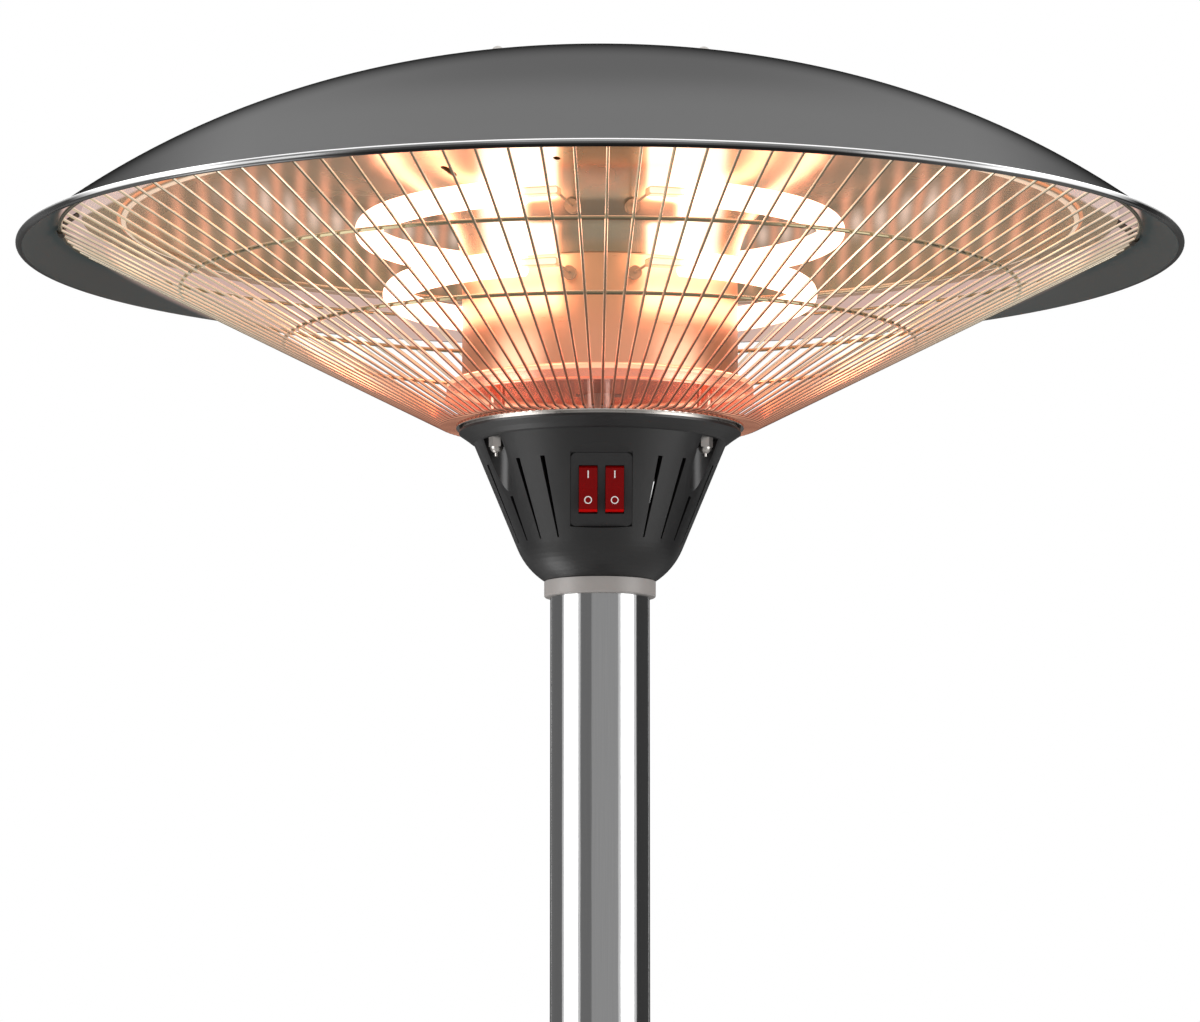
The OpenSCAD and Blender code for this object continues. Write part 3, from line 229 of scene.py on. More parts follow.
floor_radius = 9.0
floor_white_from, floor_white_to = 1.2, 5.0
floor_mesh = bmesh.new()
bmesh.ops.create_circle(floor_mesh, cap_ends=True, segments=96, radius=floor_radius)
floor_data = bpy.data.meshes.new("floor")
floor_mesh.to_mesh(floor_data)
floor_mesh.free()
floor = bpy.data.objects.new("floor", floor_data)
bpy.context.scene.collection.objects.link(floor)
floor_finish = Finish("floor_paint", Roughness=0.8, Specular_IOR_Level=0.2)
floor_finish.put("Base Color", tone("E9E8E6"))
floor_rays = floor_finish.node("LightPath", {}, {}, "Is Camera Ray")
floor_glow = floor_finish.node("Emission", {}, {"Color": white, "Strength": 1.0})
floor_far = floor_finish.band(floor_finish.radius(), floor_white_from, floor_white_to) * floor_rays
floor_near = Signal(floor_finish, floor_finish.shader.outputs[0])
floor_finish.surface(floor_finish.node("MixShader", {}, {0: floor_far, 1: floor_near, 2: floor_glow}))
floor_data.materials.append(floor_finish.material)

softboxes = [
    # name, azimuth, distance, height of its middle, width, height, brightness
    ("softbox_left", -72, 4.0, 1.9, 2.7, 3.4, 2.9),
    ("softbox_right", 66, 4.0, 1.9, 2.5, 3.4, 2.6),
    ("softbox_front", 0, 3.4, 4.6, 3.0, 1.6, 0.9),
    ("softbox_top", 180, 0.6, 4.4, 3.4, 3.4, 0.25),
    ("softbox_low", -112, 1.2, 0.4, 0.9, 0.7, 2.4),
]
light_target = Vector((0, 0, 1.9))
for name, azimuth, distance, height, width, length, brightness in softboxes:
    box_data = bpy.data.lights.new(name, "AREA")
    box_data.shape = "RECTANGLE"
    box_data.size = width
    box_data.size_y = length
    box_data.energy = brightness * math.pi * width * length
    box = bpy.data.objects.new(name, box_data)
    box.location = polar(distance, azimuth, height)
    box.rotation_euler = (light_target - box.location).to_track_quat("-Z", "Y").to_euler()
    box.visible_camera = False
    bpy.context.scene.collection.objects.link(box)

cards = [
    # name, first and last azimuth, brightness
    ("card_front_left", -47, -20, 0.24),
    ("card_front", -20, 42, 0.46),
    ("card_back_left", -152, -98, 0.2),
    ("card_back_right", 92, 150, 0.07),
    ("card_back", 152, 206, 0.1),
]
card_radius = 4.6
card_foot = 0.02
card_top = 3.4
card_steps = 12
for name, first, last, brightness in cards:
    card_mesh = bmesh.new()
    post = [card_mesh.verts.new(polar(card_radius, first, z)) for z in (card_foot, card_top)]
    edge = card_mesh.edges.new(post)
    bmesh.ops.spin(
        card_mesh, geom=[*post, edge], cent=(0, 0, 0), axis=(0, 0, 1),
        angle=math.radians(last - first), steps=card_steps, use_merge=False, use_duplicate=False,
    )
    card_data = bpy.data.meshes.new(name)
    card_mesh.to_mesh(card_data)
    card_mesh.free()
    card = bpy.data.objects.new(name, card_data)
    bpy.context.scene.collection.objects.link(card)
    card_finish = Finish(name)
    card_finish.surface(card_finish.node("Emission", {}, {"Color": white, "Strength": brightness}))
    card_data.materials.append(card_finish.material)
    card.visible_camera = False
    card.visible_diffuse = False
    card.visible_shadow = False


# Base cover
# A low round cover of black moulded plastic hides the heater's weight. It is open at its middle
# for the pole, and its skin has the fine grain of a spark-eroded mould.
MM = 0.001
crease_angle = math.radians(35)
merge_distance = 1e-6


def spun(mesh, section, steps):
    """Turns a closed section, given as radius and height in millimetres, once round the pole's axis."""
    verts = [mesh.verts.new((r * MM, 0, z * MM)) for r, z in section]
    edges = [mesh.edges.new(pair) for pair in zip(verts, verts[1:] + verts[:1])]
    bmesh.ops.spin(
        mesh, geom=verts + edges, cent=(0, 0, 0), axis=(0, 0, 1),
        angle=2 * math.pi, steps=steps, use_merge=True, use_duplicate=False,
    )


def arc(x, y, r, first, last, steps):
    """Points along an arc round (x, y), in degrees."""
    turns = [math.radians(first + (last - first) * i / steps) for i in range(steps + 1)]
    return [(x + r * math.cos(t), y + r * math.sin(t)) for t in turns]


def finished(name, mesh, finish, nodes, body="heater", round_edges=0):
    """Makes a bmesh a piece of the heater: merged, facing outward, smooth but for its creases."""
    bmesh.ops.remove_doubles(mesh, verts=mesh.verts, dist=merge_distance)
    bmesh.ops.recalc_face_normals(mesh, faces=mesh.faces)
    data = bpy.data.meshes.new(name)
    mesh.to_mesh(data)
    mesh.free()
    data.shade_smooth()
    data.set_sharp_from_angle(angle=crease_angle)
    data.materials.append(finish.material)
    piece = bpy.data.objects.new(name, data)
    bpy.context.scene.collection.objects.link(piece)
    if round_edges:
        rounding = piece.modifiers.new("rounding", "BEVEL")
        rounding.width = round_edges * MM
        rounding.segments = 2
        rounding.limit_method = "ANGLE"
        rounding.angle_limit = crease_angle
    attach(piece, body)
    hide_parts(*nodes)
    return piece


def dress(finish, *nodes):
    """Gives CAD nodes a finish in each of their material slots."""
    for node in nodes:
        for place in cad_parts[node].material_slots:
            place.material = finish.material


base_plastic = Finish("base_plastic", Metallic=0.0, Specular_IOR_Level=0.45)
grain = base_plastic.noise(2600, 2)
scuffs = base_plastic.noise(14, 5, (1, 1, 0.4))
base_plastic.colour(base_plastic.band(scuffs, 0.45, 0.8), "222223", "2C2C2C")
base_plastic.put("Roughness", scuffs * 0.22 + 0.42)
base_plastic.relief(grain, 0.0002, 0.35)

base_r, cover_hole_r, cover_wall, cover_rounding = 240, 26.5, 2.5, 0.7
cover_foot, cover_shoulder, cover_top = 8.0, 24.0, 58.0
outer_steps, inner_steps = 30, 20


def cover_height(r):
    return cover_top - (cover_top - cover_shoulder) * (r / base_r) ** 4


inner_r = base_r - cover_wall
shares = [math.sin(math.pi / 2 * i / outer_steps) for i in range(outer_steps, -1, -1)]
outer_radii = [cover_hole_r + (base_r - cover_hole_r) * share for share in shares]
inner_radii = [cover_hole_r + (inner_r - cover_hole_r) * i / inner_steps for i in range(inner_steps + 1)]
outer = [(r, cover_height(r)) for r in outer_radii]
inner = [(r, cover_height(r) - cover_wall) for r in inner_radii]
cover = bmesh.new()
spun(cover, [(base_r, cover_foot), *outer, *inner, (inner_r, cover_foot)], steps=160)
finished(
    "base_cover_shell", cover, base_plastic, ["base_cover"], round_edges=cover_rounding,
)

# Feet, bottom plate and weight
# Rubber feet are screwed under a pressed steel plate, which closes the cover from below.
# The weight on it is an iron casting with a raised rim, left rough from its sand mould.
rubber = Finish("foot_rubber", Metallic=0.0, Specular_IOR_Level=0.25)
rubber_dust = rubber.noise(55, 4)
rubber.colour(rubber.band(rubber_dust, 0.4, 0.75), "191919", "2B2A28")
rubber.put("Roughness", rubber_dust * 0.2 + 0.68)
rubber.relief(rubber.noise(1400, 2), 0.0002, 0.4)
dress(rubber, "base_feet", "cord_grommet")

base_paint = Finish("base_paint", Metallic=0.0, Specular_IOR_Level=0.5)
peel = base_paint.noise(420, 2)
base_paint.colour(base_paint.noise(30, 4), "1E1E1F", "29292A")
base_paint.put("Roughness", peel * 0.15 + 0.38)
base_paint.relief(peel, 0.0003, 0.25)
dress(base_paint, "base_bottom_plate", "base_flange")

iron = Finish("cast_iron", Metallic=0.6, Specular_IOR_Level=0.4)
sand = iron.noise(700, 5)
rust = iron.band(iron.noise(26, 6), 0.52, 0.72)
iron.colour(rust, "4A4A4C", "5E4436")
iron.put("Roughness", sand * 0.3 + 0.55)
iron.relief(sand, 0.0006, 0.6)
dress(iron, "base_weight")

# Screws, bolts and nuts
# Bright zinc-plated steel from stock, with the faint mottle that the plating bath leaves. The
# pole's inner sleeve and the studs that tie the head together are plated in the same way.
plated = Finish("zinc_plate", Metallic=1.0)
mottle = plated.noise(310, 4)
plated.colour(mottle, "A9A5A2", "CFCBC6")
plated.put("Roughness", mottle * 0.22 + 0.2)
plated.relief(plated.noise(900, 2), 0.0001, 0.2)
dress(
    plated, "feet_screws", "cover_screws", "base_bolts", "base_nuts", "flange_screws",
    "coupler_screws", "pole_clamp_screws", "pole_coupler", "tie_studs",
)

# Pole
# Two stainless tubes, drawn and then mirror-polished along their length, meet end to end over an
# inner sleeve. The polish keeps faint upright lines and a slight waviness.
pole_steel = Finish("polished_steel", Metallic=1.0)
draw_lines = pole_steel.noise(60, 3, (34, 34, 0.35))
waves = pole_steel.noise(9, 2, (1, 1, 0.5))
pole_steel.colour(draw_lines, "B9B9BA", "C4C4C4")
pole_steel.put("Roughness", draw_lines * 0.05 + waves * 0.03 + 0.045)
pole_steel.relief(draw_lines, 0.00005, 0.12)

pole_r, pole_wall = 25.5, 1.2
pole_foot, pole_joint, pole_top = 25.5, 925.5, 1855.5
edge_break = 0.3


def tube_section(outer_r, inner_r, foot, top, chamfer):
    """Section of a tube with a small chamfer on its outer edges."""
    return [
        (inner_r, foot), (outer_r - chamfer, foot), (outer_r, foot + chamfer),
        (outer_r, top - chamfer), (outer_r - chamfer, top), (inner_r, top),
    ]


for name, foot, top in (("lower_pole", pole_foot, pole_joint), ("upper_pole", pole_joint, pole_top)):
    tube = bmesh.new()
    spun(tube, tube_section(pole_r, pole_r - pole_wall, foot, top, edge_break), steps=128)
    finished(name + "_tube", tube, pole_steel, [name])

# Collars
# Rings of light grey plastic close the gap round the pole, one under the head and one on the
# base. Each has one rounded edge, which the upper one turns down and the lower one turns up.
collar_grey = Finish("collar_grey", Metallic=0.0, Specular_IOR_Level=0.5)
collar_noise = collar_grey.noise(160, 4)
collar_grey.colour(collar_noise, "A5A09D", "AFABA8")
collar_grey.put("Roughness", collar_noise * 0.12 + 0.32)
collar_grey.relief(collar_grey.noise(1500, 2), 0.0001, 0.3)

collar_r, collar_h, collar_gap, collar_round, collar_bevel = 28.6, 8.2, 0.05, 0.9, 0.2
for name, foot, round_end in (("upper_collar", 1819.3, -1), ("lower_collar", 58.0, 1)):
    middle = foot + collar_h / 2
    half = collar_h / 2
    rounded = arc(collar_r - collar_round, half - collar_round, collar_round, 90, 0, 5)
    section = [
        (pole_r + collar_gap, half), *rounded, (collar_r, -half + collar_bevel),
        (collar_r - collar_bevel, -half), (pole_r + collar_gap, -half),
    ]
    collar = bmesh.new()
    spun(collar, [(r, middle + round_end * z) for r, z in section], steps=128)
    finished(name + "_ring", collar, collar_grey, [name])

# Housing
# A bell moulded in satin black plastic carries the head. Tapered vent slots run down its cone,
# three scooped pockets take the tie nuts, and a flat seat at the front takes the switch plate.
housing_plastic = Finish("housing_plastic", Metallic=0.0, Specular_IOR_Level=0.55)
skin = housing_plastic.noise(2200, 2)
haze = housing_plastic.noise(24, 4)
housing_plastic.colour(haze, "151516", "1C1C1D")
housing_plastic.put("Roughness", haze * 0.08 + 0.31)
housing_plastic.relief(skin, 0.0001, 0.3)
dress(housing_plastic, "housing")
dress(plated, "housing_acorn_nuts", "head_plate")

# Switch plate and switch bodies
# A thin black plate with rounded corners lies in the seat, and two snap-in switch bodies of
# glass-filled nylon hang behind it.
switch_black = Finish("switch_black", Metallic=0.0, Specular_IOR_Level=0.5)
switch_grain = switch_black.noise(1900, 2)
switch_black.colour(switch_black.noise(90, 3), "1F1F20", "272728")
switch_black.put("Roughness", switch_grain * 0.12 + 0.4)
switch_black.relief(switch_grain, 0.0001, 0.4)
dress(switch_black, "switch_plate", "switch_body_left", "switch_body_right")
terminal_brass = Finish("terminal_brass", Metallic=1.0)
brass_tarnish = terminal_brass.noise(120, 4)
terminal_brass.colour(brass_tarnish, "B58E3E", "D3B05C")
terminal_brass.put("Roughness", brass_tarnish * 0.2 + 0.25)
dress(terminal_brass, "switch_terminals")

# Rockers
# Each is moulded in red plastic, dished so that either end can be pressed home, with a painted
# highlight on its lower end face. A white bar and ring, the usual marks for on and off, are printed on it.
housing_lean = math.radians(22.6)
rocker_swing = math.radians(-10)
pivot_y, pivot_z, rocker_pitch = -45.926, 1870.613, 13.4
pivot_behind, rocker_proud, rocker_dish, face_half = 4.5, 1.9, math.radians(4), 10.42

rocker_red = Finish("rocker_red", Metallic=0.0, Specular_IOR_Level=0.15)
rocker_cloud = rocker_red.noise(150, 3)
_, y, z = rocker_red.axes()
face_lean = housing_lean + rocker_swing
along = (z - pivot_z * MM) * math.cos(face_lean) - (y - pivot_y * MM) * math.sin(face_lean)
face = rocker_red.blend(rocker_cloud, tone("880002"), tone("7A0001"))
# The lower end face is painted brightest, a painted highlight
painted_end_highlight = rocker_red.fade(along, -(face_half + 0.4) * MM, -(face_half - 0.1) * MM)
rocker_red.put("Base Color", rocker_red.blend(painted_end_highlight, face, tone("D80000")))
rocker_red.put("Roughness", rocker_cloud * 0.1 + 0.3)
dress(rocker_red, "rocker_left", "rocker_right")

mark_white = Finish("mark_white", Metallic=0.0, Roughness=0.5, Specular_IOR_Level=0.3)
mark_white.colour(mark_white.noise(900, 2), "F4F2F0", "FFFFFF")
mark_t = 0.06
bar_size, bar_up, ring_up, ring_r, ring_stroke = (0.6, 3.8), 7.2, -5.85, 1.95, 0.5
for side, name in ((-1, "left"), (1, "right")):
    pivot = Matrix.Translation(Vector((side * rocker_pitch / 2, pivot_y, pivot_z)) * MM)
    pivot = pivot @ Matrix.Rotation(face_lean, 4, "X")
    marks = bmesh.new()
    for up in (bar_up, ring_up):
        out = pivot_behind + rocker_proud + abs(up) * math.tan(rocker_dish) + mark_t / 2
        tilt = math.copysign(rocker_dish, up)
        place = pivot @ Matrix.Translation(Vector((0, -out, up)) * MM) @ Matrix.Rotation(tilt, 4, "X")
        if up == bar_up:
            made = bmesh.ops.create_cube(marks, size=MM)["verts"]
            bmesh.ops.scale(marks, verts=made, vec=(bar_size[0], mark_t, bar_size[1]))
        else:
            old = set(marks.verts)
            inner_r = ring_r - ring_stroke
            spun(marks, [(ring_r, 0), (ring_r, mark_t), (inner_r, mark_t), (inner_r, 0)], steps=48)
            made = [v for v in marks.verts if v not in old]
            flat = Matrix.Rotation(math.pi / 2, 4, "X") @ Matrix.Translation((0, 0, -mark_t / 2 * MM))
            bmesh.ops.transform(marks, matrix=flat, verts=made)
        bmesh.ops.transform(marks, matrix=place, verts=made)
    finished("rocker_" + name + "_marks", marks, mark_white, [], body="rocker_" + name)

# Terminal block and thermal cut-out
# The block is pressed from tan heat-proof clay and fired unglazed. The cut-out that switches an
# overheated heater off is a stock part in a plated steel case.
ceramic = Finish("ceramic", Metallic=0.0, Specular_IOR_Level=0.4)
clay = ceramic.noise(240, 4)
ceramic.colour(clay, "A58D75", "B39C84")
ceramic.put("Roughness", clay * 0.25 + 0.35)
ceramic.relief(clay, 0.0002, 0.3)
dress(ceramic, "terminal_block")
dress(plated, "thermal_cutout")

# Guard
# Straight chromed wires fan out from a clamp ring on the housing to a top ring inside the hood's
# edge, and two cross rings lie on their inner side. Clips of dark spring steel hold the guard,
# and the tip-over switch is made of the same steel.
chrome = Finish("chromed_wire", Metallic=1.0)
chrome_haze = chrome.noise(400, 3)
# Painted light and shade: each wire's upper side is painted lit and its underside painted dark, redder near
# the housing
lit_side = chrome.band(chrome.normal_up(), -0.7, -0.1)
_, _, z = chrome.axes()
height = chrome.band(z, 1.905, 1.98)
bright = chrome.blend(chrome_haze, tone("F0E0C6"), tone("FBF0DC"))
bright = chrome.blend(height, tone("EBB092"), bright)
shade = chrome.blend(height, tone("8A4E3A"), tone("857558"))
chrome.put("Base Color", chrome.blend(lit_side, shade, bright))
chrome.put("Roughness", chrome_haze * 0.08 + 0.14)
# The upper side of each wire is also given a painted glow of the lamps' light, redder near the housing
low_light, high_light = (0.85, 0.36, 0.24), (0.95, 0.82, 0.66)
faint, full = [chrome.blend(height, light(*low_light, s), light(*high_light, s)) for s in (0.05, 0.39)]
chrome.glow(chrome.blend(lit_side, faint, full))
ring_chrome = Finish("ring_chrome", Metallic=1.0)
ring_haze = ring_chrome.noise(400, 3)
# Painted light and shade: the rings' tops are painted lit, with a painted glow, and their undersides
# painted dark
ring_painted_lit_top = ring_chrome.band(ring_chrome.normal_up(), 0.1, 0.7)
ring_painted_highlight = ring_chrome.blend(ring_haze, tone("F0E0C6"), tone("FBF0DC"))
ring_chrome.put("Base Color", ring_chrome.blend(ring_painted_lit_top, tone("8E8468"), ring_painted_highlight))
ring_chrome.put("Roughness", ring_haze * 0.08 + 0.14)
ring_light = (0.9, 0.75, 0.55)
ring_chrome.glow(ring_chrome.blend(ring_painted_lit_top, light(*ring_light, 0.03), light(*ring_light, 0.33)))

wire_count, wire_sides = 108, 8
wire_r, ring_wire_r, wire_gap = 0.75, 1.1, 0.05
bend_wire_r = wire_r * 1.04
clamp_foot, clamp_top, clamp_inner_r, clamp_outer_r = 1906.2, 1907.2, 53, 74
guard_r, guard_top, cross_ring_radii = 277.5, 2007.0, (216.5, 163.0)
guard_neck_r, guard_inner_r, bend_r = 81.5, 68.0, 6.0
foot_z = clamp_top + bend_wire_r + wire_gap
slope = math.atan((guard_top - foot_z) / (guard_r - guard_neck_r))
tangent = bend_r * math.tan(slope / 2)
bend_start = guard_neck_r - tangent
run = math.hypot(guard_r - guard_neck_r, guard_top - foot_z) - tangent - ring_wire_r - wire_gap


def drawn_out(mesh, ring, offset):
    """Draws a ring of edges out along an offset in metres and gives the ring at its end."""
    made = bmesh.ops.extrude_edge_only(mesh, edges=ring)["geom"]
    verts = [g for g in made if isinstance(g, bmesh.types.BMVert)]
    bmesh.ops.translate(mesh, vec=offset, verts=verts)
    return [g for g in made if isinstance(g, bmesh.types.BMEdge) and set(g.verts) <= set(verts)]


guard = bmesh.new()
wire_end = Matrix.Translation((0, -guard_inner_r * MM, foot_z * MM)) @ Matrix.Rotation(math.pi / 2, 4, "X")
bmesh.ops.create_circle(guard, cap_ends=True, segments=wire_sides, radius=wire_r * MM, matrix=wire_end)
ring = drawn_out(guard, list(guard.edges), Vector((0, -(bend_start - guard_inner_r), 0)) * MM)
bend = bmesh.ops.spin(
    guard, geom=ring, cent=(0, -bend_start * MM, (foot_z + bend_r) * MM), axis=(1, 0, 0),
    angle=-slope, steps=4, use_merge=False, use_duplicate=False,
)
ring = [g for g in bend["geom_last"] if isinstance(g, bmesh.types.BMEdge)]
ring = drawn_out(guard, ring, Vector((0, -math.cos(slope), math.sin(slope))) * run * MM)
bmesh.ops.edgeloop_fill(guard, edges=ring)
pitch = 2 * math.pi / wire_count
bmesh.ops.spin(
    guard, geom=[*guard.verts, *guard.edges, *guard.faces], cent=(0, 0, 0), axis=(0, 0, 1),
    angle=2 * math.pi - pitch, steps=wire_count - 1, use_merge=False, use_duplicate=True,
)
finished("guard_wire_fan", guard, chrome, ["guard_wires"])



def circle(x, z, r, points):
    """Points round the whole section of a wire or a bead."""
    return arc(x, z, r, 0, 360 - 360 / points, points - 1)


seat = wire_r + ring_wire_r + wire_gap
for name, node, radii in (
    ("guard_rim_ring", "guard_top_ring", [guard_r]),
    ("guard_cross_rings", "guard_middle_rings", cross_ring_radii),
):
    rings = bmesh.new()
    for radius in radii:
        x, z = radius, guard_top
        if radius != guard_r:
            x = radius - seat * math.sin(slope)
            z = foot_z + (radius - guard_neck_r) * math.tan(slope) + seat * math.cos(slope)
        spun(rings, circle(x, z, ring_wire_r, 10), steps=192)
    finished(name, rings, ring_chrome, [node])

clamp_ring = bmesh.new()
spun(clamp_ring, [
    (clamp_inner_r, clamp_foot), (clamp_outer_r, clamp_foot),
    (clamp_outer_r, clamp_top), (clamp_inner_r, clamp_top),
], steps=128)
clamp_chrome = Finish("clamp_chrome", Metallic=1.0)
clamp_haze = clamp_chrome.noise(60, 3)
clamp_chrome.colour(clamp_haze, "D8D2CC", "E6E0DA")
clamp_chrome.put("Roughness", clamp_haze * 0.1 + 0.08)
finished(
    "guard_clamp_band", clamp_ring, clamp_chrome, ["guard_clamp_ring"],
    round_edges=edge_break,
)
spring_steel = Finish("spring_steel", Metallic=1.0)
spring_scale = spring_steel.noise(500, 3)
spring_steel.colour(spring_scale, "4A443D", "5C544B")
spring_steel.put("Roughness", spring_scale * 0.15 + 0.35)
dress(spring_steel, "guard_clips", "tilt_bracket", "tilt_pin", "tilt_pendulum")

# Pan and drum
# A pressed pan with a turned-down skirt closes the drum from below, and the drum, rolled from
# bright stainless sheet, stands on it inside the lamps. Both are painted with the lamps' warm light,
# and the clay bushes of the lamps' leads are painted with the same light.
lamplit_painted_steel = Finish("lamplit_painted_steel", Metallic=1.0)
x, y, z = lamplit_painted_steel.axes()
rolled = lamplit_painted_steel.noise(30, 3, (1, 1, 14))
tint = lamplit_painted_steel.noise(12, 3)
# The warm tint, rosier low down and straw-coloured higher up, is painted lamp light
rosy = lamplit_painted_steel.blend(tint, tone("E6A888"), tone("EAB494"))
straw = lamplit_painted_steel.blend(tint, tone("E4BE9A"), tone("EACAA8"))
lamplit_painted_steel.put("Base Color", lamplit_painted_steel.blend(lamplit_painted_steel.band(z, 1.93, 1.985), rosy, straw))
lamplit_painted_steel.put("Roughness", rolled * 0.12 + 0.24)
lamplit_painted_steel.relief(rolled, 0.0002, 0.1)
# Painted light: a red glow is painted up the drum's middle, and painted pools of light on its two sides,
# beside the lower lamp's ends
drum_painted_glow = lamplit_painted_steel.blend(
    lamplit_painted_steel.fade(abs(x), 0.016, 0.03), light(0.05, 0.02, 0.01), light(0.24, 0.1, 0.06),
)
painted_lamp_pool = lamplit_painted_steel.band(z, 1.952, 1.966) * lamplit_painted_steel.band(abs(x), 0.018, 0.024)
painted_lamp_pool = painted_lamp_pool * lamplit_painted_steel.fade(abs(x), 0.05, 0.068) * lamplit_painted_steel.fade(y, -0.02, 0.0)
lamplit_painted_steel.glow(lamplit_painted_steel.blend(painted_lamp_pool, drum_painted_glow, light(0.5, 0.42, 0.3)))

sheet_t, axis_r = 0.8, 0.01
pan_r, pan_top, pan_foot, drum_r, drum_top = 79.0, 1929.8, 1920.8, 71.0, 1985.5
pan_bend_r, pan_lip, lip_bend_z, lip_z = 2, 1, 1.4, 0.6
bend_x, bend_z = pan_r - pan_bend_r, pan_top - pan_bend_r
pan = bmesh.new()
spun(pan, [
    (axis_r, pan_top), *arc(bend_x, bend_z, pan_bend_r, 90, 0, 4),
    (pan_r, pan_foot + lip_bend_z), (pan_r + pan_lip, pan_foot + lip_z),
    (pan_r + pan_lip, pan_foot), (pan_r - sheet_t, pan_foot),
    *arc(bend_x, bend_z, pan_bend_r - sheet_t, 0, 90, 4), (axis_r, pan_top - sheet_t),
], steps=128)
pan_painted_lamplight = Finish("pan_painted_lamplight", Metallic=1.0)
pan_tint = pan_painted_lamplight.noise(22, 4)
# The pan's salmon colour is painted lamp light
pan_painted_lamplight.colour(pan_tint, "E89C86", "F2AC92")
pan_painted_lamplight.put("Roughness", pan_tint * 0.12 + 0.16)
pan_painted_lamplight.relief(pan_painted_lamplight.noise(300, 3), 0.0001, 0.06)
_, _, z = pan_painted_lamplight.axes()
# Painted light: the skirt is painted with a red glow below its bend, and its upper end with a painted
# highlight of the lamps' light
skirt = pan_painted_lamplight.band(pan_painted_lamplight.radius(), 0.077, 0.0785)
pan_painted_glow = pan_painted_lamplight.blend(skirt, light(0.03, 0.008, 0.006), light(0.34, 0.11, 0.07))
painted_skirt_highlight = skirt * pan_painted_lamplight.band(z, 1.9262, 1.9268)
pan_painted_lamplight.glow(pan_painted_lamplight.blend(painted_skirt_highlight, pan_painted_glow, light(0.9, 0.5, 0.3)))
finished("pan_pressing", pan, pan_painted_lamplight, ["lamp_pan"])
drum_hole_r = 15
drum = bmesh.new()
spun(drum, [
    (drum_r, pan_top), (drum_r, drum_top), (drum_r - edge_break, drum_top + sheet_t),
    (drum_hole_r, drum_top + sheet_t), (drum_hole_r, drum_top),
    (drum_r - sheet_t, drum_top), (drum_r - sheet_t, pan_top),
], steps=128)
finished("drum_shell", drum, lamplit_painted_steel, ["lamp_drum"])
dress(plated, "drum_spacers", "lamp_rear_bracket")
dress(pan_painted_lamplight, "pan_standoffs")
lit_clay = Finish("lit_ceramic", Metallic=0.0, Roughness=0.6, Specular_IOR_Level=0.3)
clay_cloud = lit_clay.noise(240, 4)
lit_clay.colour(clay_cloud, "9C8A70", "AC9A7E")
# The bushes' glow is painted lamp light
lit_clay.glow(lit_clay.blend(clay_cloud, light(0.05, 0.035, 0.024), light(0.07, 0.048, 0.034)))
dress(lit_clay, "lead_bushes", "lamp_leads")

# Lamps
# Two ring lamps, one over the other: quartz tubes bent to a circle with a gap at the front, and
# pinched flat and sealed at each end. The coil inside glows white-hot and floods the tube.
lamp_glass = Finish("glowing_quartz", Metallic=0.0, Roughness=0.08, IOR=1.46)
rim = lamp_glass.band(lamp_glass.grazing(0.35), 0.82, 0.99)
lamp_core, lamp_fringe, lamp_strength = light(1.0, 0.4, 0.28), light(0.17, 0.155, 0.11), 6.0
lamp_glass.put("Base Color", tone("FFF0D0"))
lamp_glass.glow(lamp_glass.blend(rim, lamp_core, lamp_fringe), lamp_strength)
pinch_glass = Finish("clear_quartz", Metallic=0.0, IOR=1.46, Transmission_Weight=0.3)
pinch_glass.colour(pinch_glass.noise(220, 2), "D8B898", "EED6BA")
pinch_glass.put("Roughness", pinch_glass.noise(500, 2) * 0.15 + 0.05)
pinch_edge = pinch_glass.band(pinch_glass.grazing(0.5), 0.15, 0.35)
pinch_lit = pinch_glass.blend(pinch_glass.noise(160, 2), light(1.0, 0.84, 0.68), light(1.0, 0.92, 0.8))
pinch_glass.glow(pinch_glass.blend(pinch_edge, pinch_lit, light(0.45, 0.16, 0.06)), 0.7)
coil_glow = Finish("heating_coil", Metallic=0.0, Roughness=0.6)
coil_turns = coil_glow.noise(900, 1)
coil_glow.put("Base Color", tone("FFD9A0"))
coil_glow.glow(coil_glow.blend(coil_turns, lamp_core, light(1.0, 0.5, 0.3)), lamp_strength)
dress(coil_glow, "lamp_filaments")

